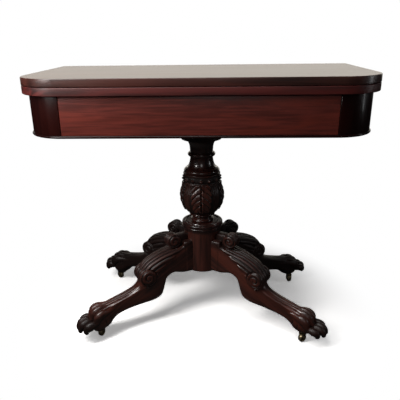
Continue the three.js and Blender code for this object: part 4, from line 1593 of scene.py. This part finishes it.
@dataclass
class CarvedLeg:
    """A leg in its own upright plane: X away from the column, Y across, Z up.

    The stations give the upper and the lower outline as shares of the leg's reach and
    rise, the half width as a share of its own, and how boxy the section is.
    """

    side: Side
    root: float = 0.0575
    reach: float = 0.360
    sole: float = 0.031
    rise: float = 0.210
    half_width: float = 0.0285
    rib_pitch: float = 13.0 * MM
    rib_fill: float = 0.84
    rib_height: float = 4.6 * MM
    leaf_height: float = 1.0 * MM
    # Where the leaf starts, how much later each lower rib does, and its scalloped edges
    leaf_start: float = 0.086
    leaf_stagger: float = 0.026
    leaf_scallop: float = 0.008
    leaf_fade: float = 0.022
    leaf_end: float = 8.6
    edge_scallop: float = 3.0 * MM
    edge_fade: float = 1.2 * MM
    curl: Scroll = Scroll((0.1035, 0.2645), 0.0198, 0.0160, 1.7, 0.55, 5.5 * MM)
    scroll: Scroll = Scroll((0.1985, 0.1695), 0.0240, 0.0315, 1.9, 0.2, 13.0 * MM)
    scroll_around: int = 112
    face_rows: int = 34
    edge_rows: int = 42
    scroll_fill: float = 0.92
    # How much less painted shade the scroll's crests and its eye get
    scroll_polish: float = 0.6
    eye_share: float = 0.2
    eye_hole: float = 0.03
    spiral_height: float = 3.4 * MM
    spiral_drop: float = 2.6 * MM
    eye_height: float = 3.0 * MM
    edge_rib_height: float = 2.2 * MM
    edge_sink: float = 1.2 * MM
    edge_round: float = 3 * MM
    face_arris: float = 0.8 * MM
    # How much the ribs' heights differ, and how much less painted shade their crests get than the
    # valleys
    rib_uneven: float = 0.15
    rib_polish: float = 0.56
    crest_sink: float = 3.6 * MM
    crest_reach: float = 0.036
    # The moat round the scroll: its place and width, and how dark its painted shade is
    moat_place: float = 2.2 * MM
    moat_width: float = 1.6 * MM
    moat_wax: float = 0.9
    # The painted shadow on the flank along the leaf's lower edge: its place, width and darkness
    rim_place: float = 1.6 * MM
    rim_width: float = 2.2 * MM
    rim_wax: float = 0.75
    # The flat pad at the hip, and the groove that ends it, which is not carved but painted as a
    # dark line of shade
    pad_end: float = 0.0715
    pad_fade: float = 1.5 * MM
    pad_height: float = 1.3 * MM
    pad_groove: float = 0.0725
    pad_groove_width: float = 1.2 * MM
    # Levels between which painted shade darkens the hip under the disc, and how dark that painted
    # shade and the painted groove are
    hip_span: tuple[float, float] = (0.230, 0.244)
    hip_wax: float = 0.5
    # Stations where the shank's arrises, the tendons and the heel begin and are full, and
    # where the first two end and how softly
    shank_span: tuple[float, float, float, float] = (8.8, 10.0, 14.2, 1.2)
    instep_span: tuple[float, float, float, float] = (9.4, 12.4, 15.8, 1.0)
    heel_span: tuple[float, float] = (13.0, 13.6)
    arris_height: float = 1.6 * MM
    arris_place: float = 0.88
    arris_width: float = 0.08
    arris_end: float = 0.2
    shank_sink: float = 0.8 * MM
    tendon_height: float = 3.0 * MM
    tendon_pitch: float = 0.56
    crease_depth: float = 1.6 * MM
    # Each crease of the heel: its place, its slope and its width
    creases: tuple[tuple[float, float, float], ...] = (
        (0.318, 0.25, 2.0 * MM), (0.337, 0.1, 1.8 * MM),
    )
    crease_level: float = 0.055
    # How dark the painted shade in the heel's creases is
    crease_wax: float = 0.7
    grain_slope: float = 28.0
    toe_count: int = 4
    toe_rows: int = 90
    toe_around: int = 36
    bend_start: float = 0.05
    bend_length: float = 0.31
    # How far the inner toes reach past the line and the outer ones fall short, at their tips,
    # and how much lower the outer ones start, as shares of the reach and the rise
    inner_lead: float = 0.028
    outer_lead: float = -0.012
    outer_drop: float = 0.045
    claw_start: float = 0.80
    toe_waist: float = 0.54
    # How close together the toes start, as a share of their pitch, and how much they close again
    toe_gather: float = 0.62
    claw_gather: float = 0.06
    toe_pitch: float = 0.0170
    toe_radius: float = 0.0110
    toe_depth: float = 1.25
    rows: int = 300
    around: int = 224
    stations: tuple[tuple[float, ...], ...] = (
        (-0.05, 1.10, -0.05, 0.60, 1.0, 9.0),
        (0.043, 1.10, 0.05, 0.60, 1.0, 8.0),
        (0.066, 1.03, 0.09, 0.612, 1.0, 7.0),
        (0.16, 0.985, 0.155, 0.632, 1.0, 5.5),
        (0.25, 0.955, 0.214, 0.575, 1.0, 4.4),
        (0.32, 0.915, 0.233, 0.48, 1.02, 4.0),
        (0.385, 0.855, 0.247, 0.385, 1.02, 4.0),
        (0.43, 0.765, 0.264, 0.31, 1.0, 3.8),
        (0.45, 0.665, 0.302, 0.26, 0.95, 3.4),
        (0.455, 0.575, 0.357, 0.235, 0.86, 3.2),
        (0.49, 0.51, 0.43, 0.225, 0.76, 3.2),
        (0.55, 0.455, 0.51, 0.215, 0.72, 3.4),
        (0.62, 0.415, 0.588, 0.195, 0.70, 3.4),
        (0.69, 0.385, 0.655, 0.16, 0.74, 3.0),
        (0.75, 0.365, 0.695, 0.11, 0.84, 2.6),
        (0.80, 0.345, 0.73, 0.05, 0.98, 2.8),
        (0.84, 0.32, 0.78, 0.003, 1.05, 2.8),
        (0.87, 0.26, 0.83, 0.003, 1.0, 2.6),
    )
    # How far the knee's leaf reaches down from the crest, at some of the stations
    leaf_stations: tuple[float, ...] = (2.0, 3.0, 3.5, 4.3, 5.0, 5.5, 6.5, 8.0, 9.2)
    leaf_depths: tuple[float, ...] = (0.042, 0.044, 0.051, 0.060, 0.070, 0.076, 0.072, 0.052, 0.028)
    # The pad over the caster's socket: its gap, and its radius at each height above that
    pad_around: int = 48
    pad_seat: float = 0.3 * MM
    pad_profile: tuple[tuple[float, float], ...] = (
        (0.0155, 0.0), (0.0175, 0.6 * MM), (0.0195, 0.010), (0.016, 0.018),
    )
    stem_low: tuple[float, float, float] = (0.050, -0.012, 0.225)
    stem_high: tuple[float, float, float] = (0.102, 0.012, 0.2815)
    stem_arris: float = 4 * MM
    # How dark the painted shade over the whole stem is
    stem_wax: float = 0.6
    # Reach, rise and thickness along a toe, from its tendon to the claw's tip
    toe_stations: tuple[tuple[float, float, float], ...] = (
        (0.62, 0.360, 0.35),
        (0.70, 0.335, 0.55),
        (0.76, 0.315, 0.80),
        (0.805, 0.300, 1.00),
        (0.838, 0.265, 1.05),
        (0.855, 0.205, 0.85),
        (0.872, 0.155, 0.72),
        (0.900, 0.150, 0.95),
        (0.928, 0.130, 1.05),
        (0.945, 0.095, 0.85),
        (0.952, 0.055, 0.60),
        (0.948, 0.020, 0.25),
    )

    def reach_at(self, share: np.ndarray | float) -> np.ndarray | float:
        """The distance from the column's axis at a share of the reach."""
        return self.root + share * self.reach

    def level_at(self, share: np.ndarray | float) -> np.ndarray | float:
        """The level at a share of the rise."""
        return self.sole + share * self.rise

    def body(self) -> Surface:
        """The leg's body with its carving.

        Each section is a superellipse laid between the two outlines; in polar form its
        distance from the middle is the sum of the powers of cosine and sine, to the power
        of less one over the boxiness. The carving then moves it along its normal.

        Returns:
            The carved body.
        """
        at = np.linspace(0.0, len(self.stations) - 1.0, self.rows)
        table = through(np.array(self.stations), at)
        turn = np.arange(self.around) / self.around
        angle = math.pi / 2 + FULL_TURN * turn - 0.5 * np.sin(FULL_TURN * turn)
        c, s = np.cos(angle)[None, :], np.sin(angle)[None, :]
        box = table[:, 5:6]
        spread = (np.abs(c) ** box + np.abs(s) ** box) ** (-1.0 / box)
        share = (1.0 + spread * s) / 2
        high_x, high_z = self.reach_at(table[:, 0:1]), self.level_at(table[:, 1:2])
        low_x, low_z = self.reach_at(table[:, 2:3]), self.level_at(table[:, 3:4])
        across = spread * c
        x = low_x + (high_x - low_x) * share
        y = across * table[:, 4:5] * self.half_width
        z = low_z + (high_z - low_z) * share
        points = np.stack([x, y, z], axis=-1)
        relief, recess = self.body_relief(points, at[:, None], across)
        moved = points + grid_normals(points) * relief[..., None]
        return skin(moved, recess, self.plank(moved))

    def plank(self, points: np.ndarray) -> np.ndarray:
        """The place in the leg's plank, whose grain slopes from the hip down to the paw.

        Args:
            points: points of the leg, before it is turned to its side.

        Returns:
            Grain coordinates for each point.
        """
        slope = math.radians(self.grain_slope)
        c, s = math.cos(slope), math.sin(slope)
        x, y, z = points[..., 0], points[..., 1], points[..., 2]
        shift = self.side.degrees * 0.01
        return np.stack([x * c - z * s + shift, y, x * s + z * c], axis=-1)

    def body_relief(
        self, points: np.ndarray, at: np.ndarray, across: np.ndarray
    ) -> tuple[np.ndarray, np.ndarray]:
        """The height of the carving over the leg's body, and where painted shade darkens it.

        The knee's leaf has ribs that keep their distance from the crest line, measured
        round the section; the shank has an arris on each upper edge; tendons rise on the
        instep; the heel has two creases.

        Args:
            points: the body's points.
            at: the station of each ring.
            across: the place across the leg, from -1 to 1.

        Returns:
            The height and the painted shade at each point.
        """
        x, z = points[..., 0], points[..., 2]
        step = np.linalg.norm(np.roll(points, -1, axis=1) - points, axis=-1)
        walked = np.cumsum(step, axis=1) - step
        total = step.sum(axis=1, keepdims=True)
        from_crest = np.minimum(walked, total - walked)

        depth = np.interp(at, self.leaf_stations, self.leaf_depths)
        rib_number = from_crest / self.rib_pitch + 0.5
        rib = ribbed(rib_number, self.rib_fill)
        row = np.floor(rib_number)
        start = self.leaf_start + self.leaf_stagger * np.maximum(row - 2.0, 0.0)
        start = start - self.leaf_scallop * rib
        inside = ease(depth - from_crest + self.edge_scallop * rib, 0.0, self.edge_fade)
        begins = ease(x - start, 0.0, self.leaf_fade)
        ends = ease(self.leaf_end - at, 0.0, 0.4)
        leaf = inside * begins * ends
        aside = np.abs(across)
        rho = np.hypot(x - self.scroll.centre[0], z - self.scroll.centre[1])
        moat = bell(rho - self.scroll.radius - self.moat_place, self.moat_width)
        moat = moat * ease(aside, 0.8, 0.95) * ends
        uneven = 1.0 - self.rib_uneven + self.rib_uneven * np.cos(row * 2.1)
        relief = leaf * (self.leaf_height + self.rib_height * rib * uneven)
        sink = self.crest_sink * leaf * ease(self.crest_reach - from_crest, 0.0, 0.02)
        relief = relief * (1.0 - moat) - sink
        # Painted shade in the leaf's valleys, less on the ribs' crests, and in the moat round the
        # scroll
        recess = np.maximum(leaf * valley(rib, self.rib_polish), self.moat_wax * moat)
        # A painted shadow on the flank just below the leaf's lower edge
        rim = bell(depth - from_crest + self.rim_place, self.rim_width) * begins * ends
        recess = np.maximum(recess, self.rim_wax * rim * (1.0 - inside))

        pad = ease(self.pad_end - x, 0.0, self.pad_fade) * ease(aside, 0.86, 0.93)
        relief = relief + self.pad_height * pad
        # Painted shade: a dark line where the pad ends, and the hip under the disc
        groove = bell(x - self.pad_groove, self.pad_groove_width)
        hip = np.maximum(groove, ease(z, *self.hip_span))
        recess = np.maximum(recess, self.hip_wax * hip)

        shank = span(at, *self.shank_span)
        above_paw = z > self.level_at(self.arris_end)
        arris = bell(aside - self.arris_place, self.arris_width) * above_paw
        top = ease(0.55 - aside, 0.0, 0.5)
        upper = from_crest < total / 4
        relief = relief + shank * upper * (self.arris_height * arris - self.shank_sink * top)

        instep = span(at, *self.instep_span) * upper
        tendon = ribbed(aside / self.tendon_pitch)
        relief = relief + instep * self.tendon_height * (tendon - 0.6)
        # Painted shade between the tendons
        recess = np.maximum(recess, instep * (1.0 - ease(tendon, 0.2, 0.75)))

        heel = ease(at, *self.heel_span) * (~upper)
        up = z - self.crease_level
        first, second = (bell(x - at_x - slope * up, width) for at_x, slope, width in self.creases)
        crease = np.maximum(first, second) * heel * ease(aside, 0.5, 0.8)
        relief = relief - self.crease_depth * crease
        # Painted shade in the heel's creases
        recess = np.maximum(recess, self.crease_wax * crease)
        return relief, recess

    def barrel(self, scroll: Scroll) -> Surface:
        """A scroll across the leg: both faces a spiral, and ribs round its edge.

        The spiral's phase is its turns times the distance share, less the angle, so that
        it widens outwards. The edge bulges between its ribs.

        Args:
            scroll: the scroll's place and sizes.

        Returns:
            The scroll.
        """
        half = scroll.half
        angle = np.arange(self.scroll_around) / self.scroll_around * FULL_TURN
        face = np.linspace(self.eye_hole, 1.0, self.face_rows)
        edge = np.linspace(0.0, 1.0, self.edge_rows)[1:-1]
        share = np.concatenate([face, np.ones(len(edge)), face[::-1]])
        place = np.concatenate([np.full(len(face), -1.0), edge * 2 - 1, np.full(len(face), 1.0)])
        share, place = share[:, None], place[:, None]
        phase = scroll.turns * share**0.9 - angle[None, :] / FULL_TURN + scroll.start
        spiral = ribbed(phase, self.scroll_fill)
        on_face = (np.abs(place) >= 1.0).astype(float)
        eye = bell(share, self.eye_share)
        drop = self.spiral_drop * share**6
        out = self.spiral_height * spiral * (1.0 - eye) + self.eye_height * eye - drop
        edge_rib = ribbed(np.abs(place) * half / scroll.pitch + 0.5, self.scroll_fill)
        crown = np.minimum((1.0 - np.abs(place)) * half / self.edge_round, 1.0)
        bulge = self.edge_rib_height * edge_rib - self.edge_sink * (1.0 - crown) ** 2
        turned_in = on_face * ease(share, 0.9, 1.0) * self.face_arris
        rho = share * scroll.radius + (1.0 - on_face) * bulge - turned_in
        x = scroll.centre[0] + rho * np.cos(angle)
        z = scroll.centre[1] + rho * np.sin(angle)
        y = place * half + np.sign(place) * (on_face * out)
        points = np.stack([x, np.broadcast_to(y, x.shape), z], axis=-1)
        # Painted shade in the spiral's groove and between the edge's ribs, less on their crests and
        # on the eye
        unshaded = self.scroll_polish
        recess = on_face * valley(spiral, unshaded) * (1.0 - unshaded * eye)
        recess = np.maximum(recess, (1.0 - on_face) * valley(edge_rib, unshaded))
        return skin(points, np.broadcast_to(recess, x.shape), self.plank(points))

    def toe(self, number: int) -> Surface:
        """A toe with its knuckles and claw: round sections along a bent line.

        Args:
            number: the toe's number, from 0 to 3 across the paw.

        Returns:
            The toe.
        """
        place = number - (self.toe_count - 1) / 2
        inner = abs(place) < 1.0
        at = np.linspace(0.0, len(self.toe_stations) - 1.0, self.toe_rows)
        line = through(np.array(self.toe_stations), at)
        along = at / at[-1]
        lead = (self.inner_lead if inner else self.outer_lead) * along
        drop = 0.0 if inner else self.outer_drop * (1.0 - along)
        x = self.reach_at(line[:, 0] + lead)
        z = self.level_at(line[:, 1] - drop)
        opening = self.toe_gather + (1.0 - self.toe_gather) * ease(along, 0.0, 0.35)
        y = place * self.toe_pitch * opening * (1.0 - self.claw_gather * ease(along, 0.7, 1.0))
        size = line[:, 2] * self.toe_radius
        tangent = np.stack([np.gradient(x), np.gradient(z)], axis=-1)
        tangent /= np.linalg.norm(tangent, axis=1, keepdims=True)
        angle = np.arange(self.toe_around) / self.toe_around * FULL_TURN
        up = size[:, None] * self.toe_depth * np.sin(angle)
        points = np.stack([
            x[:, None] - tangent[:, 1:] * up,
            y[:, None] + size[:, None] * np.cos(angle),
            z[:, None] + tangent[:, :1] * up,
        ], axis=-1)
        claw = ease(along, self.claw_start, 0.83)
        cuticle, waist = bell(along - self.claw_start, 0.02), bell(along - self.toe_waist, 0.05)
        # Painted shade at the cuticle and the waist, a darkening that grows from the toe's root
        # towards its end, and under the toe but not under the claw
        rings = np.maximum(0.9 * cuticle, 0.8 * waist)
        rings = np.maximum(rings, 0.36 * ease(along, 0.1, 0.3) + 0.3 * ease(along, 0.46, 0.52))
        low = ease(np.sin(angle), 0.1, -0.7)
        recess = np.maximum(rings[:, None], 0.85 * low[None, :] * (1.0 - claw)[:, None])
        return skin(points, recess, self.plank(points))

    def sole_pad(self) -> Surface:
        """The pad under the paw that the caster's socket is let into.

        Returns:
            The pad.
        """
        socket = NodeBox.of(f"caster_socket_{self.side.label}")
        low = socket.high[2] + self.pad_seat
        reach = float(np.hypot(socket.middle[0], socket.middle[1]))
        profile = np.array([[radius, low + up] for radius, up in self.pad_profile])
        rings = lathe(profile, self.pad_around)
        rings[..., 0] += reach
        return skin(rings, None, self.plank(rings))

    def settled(self, surface: Surface) -> Surface:
        """Bends the leg as age has: the drop grows softly from the knee to the paw.

        Where the leg sinks, its sole stays on the caster.

        Args:
            surface: a piece of the leg.

        Returns:
            The bent piece.
        """
        x, z = surface.points[:, 0], surface.points[:, 2]
        drop = self.side.settling * np.clip((x - self.bend_start) / self.bend_length, 0.0, 1.0)
        if self.side.settling > 0:
            drop = drop * ease(z, 0.03, 0.08)
        points = surface.points - drop[:, None] * np.array([0.0, 0.0, 1.0])
        return Surface(points, surface.faces, surface.recess, surface.grain)

    def build(self, shop: Workshop) -> None:
        """Makes the leg's pieces and turns them to their side.

        Args:
            shop: the workshop.
        """
        label, stem_corners = self.side.label, (np.array(self.stem_low), np.array(self.stem_high))
        stem = capped(block(*stem_corners, self.stem_arris, self.stem_arris))
        # Painted shade over the whole stem, which lies in shadow between the curl and the drum
        stem.recess[:] = self.stem_wax
        toes = [self.toe(number) for number in range(self.toe_count)]
        shapes = {
            "body": self.settled(self.body()),
            "curl": self.barrel(self.curl).joined(stem),
            "scroll": self.settled(self.barrel(self.scroll)),
            "toes": self.settled(toes[0].joined(*toes[1:])).joined(self.sole_pad()),
        }
        for name, surface in shapes.items():
            # Painted shade: the back legs' pieces are darkened all over
            np.maximum(surface.recess, self.side.wax, out=surface.recess)
            turned = surface.turned(self.side.degrees)
            shop.piece(f"leg_{name}_{label}", turned, CARVED_FINISH, f"leg_{label}",
                       crease=CARVED_CREASE)


@dataclass
class Caster:
    """A brass caster: a socket plate under the paw, a swivelling horn and its wheel."""

    side: Side
    around: int = 64
    bore: float = 3.2 * MM
    half_width: float = 6 * MM
    # How deep the wheel's faces are dished at the bore and at the hub's edge
    bore_dish: float = 1.4 * MM
    hub_dish: float = 1.2 * MM

    def wheel(self) -> Surface:
        """The wheel, turned about its own axle: a flat tread with rounded shoulders.

        Returns:
            The wheel, its axle along Z.
        """
        box = NodeBox.of(f"caster_wheel_{self.side.label}")
        radius = box.size[2] / 2
        half = self.half_width
        face = np.array([
            [self.bore, half - self.bore_dish], [radius * 0.55, half - self.hub_dish],
            [radius * 0.66, half], [radius * 0.86, half], [radius * 0.97, half * 0.72],
            [radius, half * 0.3],
        ])
        profile = np.concatenate([face * np.array([1.0, -1.0]), face[::-1]])
        return skin(lathe(profile, self.around))

    def build(self, shop: Workshop) -> None:
        """Makes the wheel and dresses the rest.

        Args:
            shop: the workshop.
        """
        label = self.side.label
        roll = next(j for j in shop.frame["joints"] if j["name"] == f"caster_roll_{label}")
        node, upright = f"caster_wheel_{label}", Vector((0.0, 0.0, 1.0))
        turn = np.array(upright.rotation_difference(Vector(roll["axis"])).to_matrix())
        flat = self.wheel()
        wheel = Surface.of(flat.points @ turn.T + NodeBox.of(node).middle, flat.faces)
        shop.piece(f"caster_roller_{label}", wheel, BRASS_FINISH, node, f"wheel_{label}")
        shop.dress([f"caster_{part}_{label}" for part in ("socket", "yoke", "axle")], BRASS_FINISH)


# The studio


@dataclass(frozen=True)
class Lamp:
    """A rectangular lamp that looks at the table."""

    name: str
    place: tuple[float, float, float]
    width: float
    height: float
    watts: float
    colour: Colour
    target: tuple[float, float, float]

    def hang(self) -> None:
        """Adds the lamp to the scene."""
        light = bpy.data.lights.new(self.name, "AREA")
        light.shape = "RECTANGLE"
        light.size, light.size_y = self.width, self.height
        light.energy = self.watts
        light.color = self.colour
        lamp = placed(self.name, light)
        lamp.location = self.place
        look = Vector(self.target) - Vector(self.place)
        lamp.rotation_euler = look.to_track_quat("-Z", "Y").to_euler()


@dataclass
class Studio:
    """The photograph's camera, a white floor that keeps the shadow, and soft lamps."""

    camera_place: tuple[float, float, float] = (0.04670, -1.32228, 0.86184)
    yaw: float = -0.04014
    pitch: float = 0.35159
    roll: float = -0.01299
    focal_length: float = 41.254
    floor_half: float = 9.0
    floor_lift: float = 0.23
    shadow_fade: tuple[float, float] = (0.31, 0.58)
    floor_bounce: Colour = (0.06, 0.058, 0.056)
    front_colour: Colour = (0.02, 0.02, 0.022)
    left_colour: Colour = (0.03, 0.03, 0.03)
    back_colour: Colour = (1.50, 1.40, 1.25)
    # Over which directions the bright back sets in and fades upwards, and the left side sets
    # in and fades to the back
    back_span: tuple[float, float] = (0.66, 0.95)
    back_top: tuple[float, float] = (0.13, 0.32)
    left_span: tuple[float, float] = (0.1, 0.9)
    left_end: tuple[float, float] = (-0.2, 0.6)
    lamps: tuple[Lamp, ...] = (
        Lamp("high_window", (-0.38, -0.60, 2.3), 0.9, 0.9, 18.0,
             (1.0, 0.985, 0.97), (0.0, 0.0, 0.0)),
        Lamp("key_window", (-0.60, -0.58, 1.18), 0.35, 0.35, 4.4,
             (1.0, 0.98, 0.96), (-0.1, 0.0, 0.4)),
        Lamp("low_window", (-0.72, -0.60, 0.92), 0.25, 0.25, 3.9,
             (1.0, 0.98, 0.96), (-0.2, 0.0, 0.6)),
        Lamp("front_window", (0.0, -1.75, 1.2), 0.4, 0.38, 1.5,
             (1.0, 0.99, 0.97), (0.0, 0.0, 0.4)),
        Lamp("right_window", (1.9, -0.25, 0.95), 0.12, 1.0, 1.9,
             (0.96, 0.98, 1.0), (0.4, -0.1, 0.6)),
    )

    def camera(self) -> None:
        """Sets up the camera from its yaw, its pitch below the horizon and its roll."""
        forward = Vector((
            math.sin(self.yaw) * math.cos(self.pitch),
            math.cos(self.yaw) * math.cos(self.pitch),
            -math.sin(self.pitch),
        ))
        level = Vector((math.cos(self.yaw), -math.sin(self.yaw), 0.0))
        upright = level.cross(forward)
        right = level * math.cos(self.roll) + upright * math.sin(self.roll)
        up = right.cross(forward)
        data = bpy.data.cameras.new("photo_camera")
        data.lens = self.focal_length
        data.sensor_fit = "HORIZONTAL"
        camera = placed("photo_camera", data)
        turn = Matrix((right, up, -forward)).transposed()
        camera.matrix_world = Matrix.Translation(self.camera_place) @ turn.to_4x4()
        bpy.context.scene.camera = camera

    def floor(self) -> None:
        """Lays the floor: white to the camera but for the table's shadow, dim in reflections."""
        h = self.floor_half
        mesh = bpy.data.meshes.new("studio_floor")
        mesh.from_pydata([(-h, -h, 0), (h, -h, 0), (h, h, 0), (-h, h, 0)], [], [(0, 1, 2, 3)])
        floor = placed("studio_floor", mesh)
        graph = NodeGraph(bpy.data.materials.new("studio_floor"))
        ray = graph.add("LightPath", out="Is Camera Ray")
        away = graph.add("VectorMath", {0: graph.object_place()}, "Value", operation="LENGTH")
        sheet = graph.add("BsdfDiffuse", {"Color": WHITE})
        paper = graph.add("AddShader", {0: sheet, 1: sheet})
        dim = graph.add("BsdfDiffuse", {"Color": self.floor_bounce})
        lift = graph.add("Emission", {"Strength": self.floor_lift})
        white = graph.add("Emission", {"Strength": 1.0})
        near = graph.add("AddShader", {0: paper, 1: lift})
        seen = graph.add("MixShader", {0: away.step(*self.shadow_fade), 1: near, 2: white})
        both = graph.add("MixShader", {0: ray, 1: dim, 2: seen})
        graph.add("OutputMaterial", {"Surface": both})
        mesh.materials.append(graph.owner)

    def world(self) -> None:
        """Sets the surroundings: white to the camera, else bright behind and dim in front."""
        world = bpy.data.worlds.new("studio")
        bpy.context.scene.world = world
        graph = NodeGraph(world)
        direction = graph.add("TexCoord", out="Generated")
        x, y, z = (graph.add("SeparateXYZ", {0: direction}, k) for k in range(3))
        behind = y.step(*self.back_span) * (1.0 - z.step(*self.back_top))
        beside = (x * -1.0).step(*self.left_span) * (1.0 - y.step(*self.left_end))
        dim = graph.mix(beside, self.front_colour, self.left_colour)
        lit = graph.mix(behind, dim, self.back_colour)
        ray = graph.add("LightPath", out="Is Camera Ray")
        background = graph.add("Background", {"Color": graph.mix(ray, lit, WHITE)})
        graph.add("OutputWorld", {"Surface": background})

    def build(self) -> None:
        """Sets up the camera, the floor, the surroundings and the lamps."""
        bpy.context.scene.view_settings.view_transform = "Standard"
        self.camera()
        self.floor()
        self.world()
        for lamp in self.lamps:
            lamp.hang()


def main() -> None:
    """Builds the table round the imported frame."""
    logging.basicConfig(level=logging.INFO, format="%(name)s: %(message)s")
    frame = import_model()
    Studio().build()
    shop = Workshop(frame)
    FoldingTop().build(shop)
    ApronFrame().build(shop)
    CarvedColumn().build(shop)
    for side in Side:
        CarvedLeg(side).build(shop)
        Caster(side).build(shop)


if __name__ == "__main__":
    main()
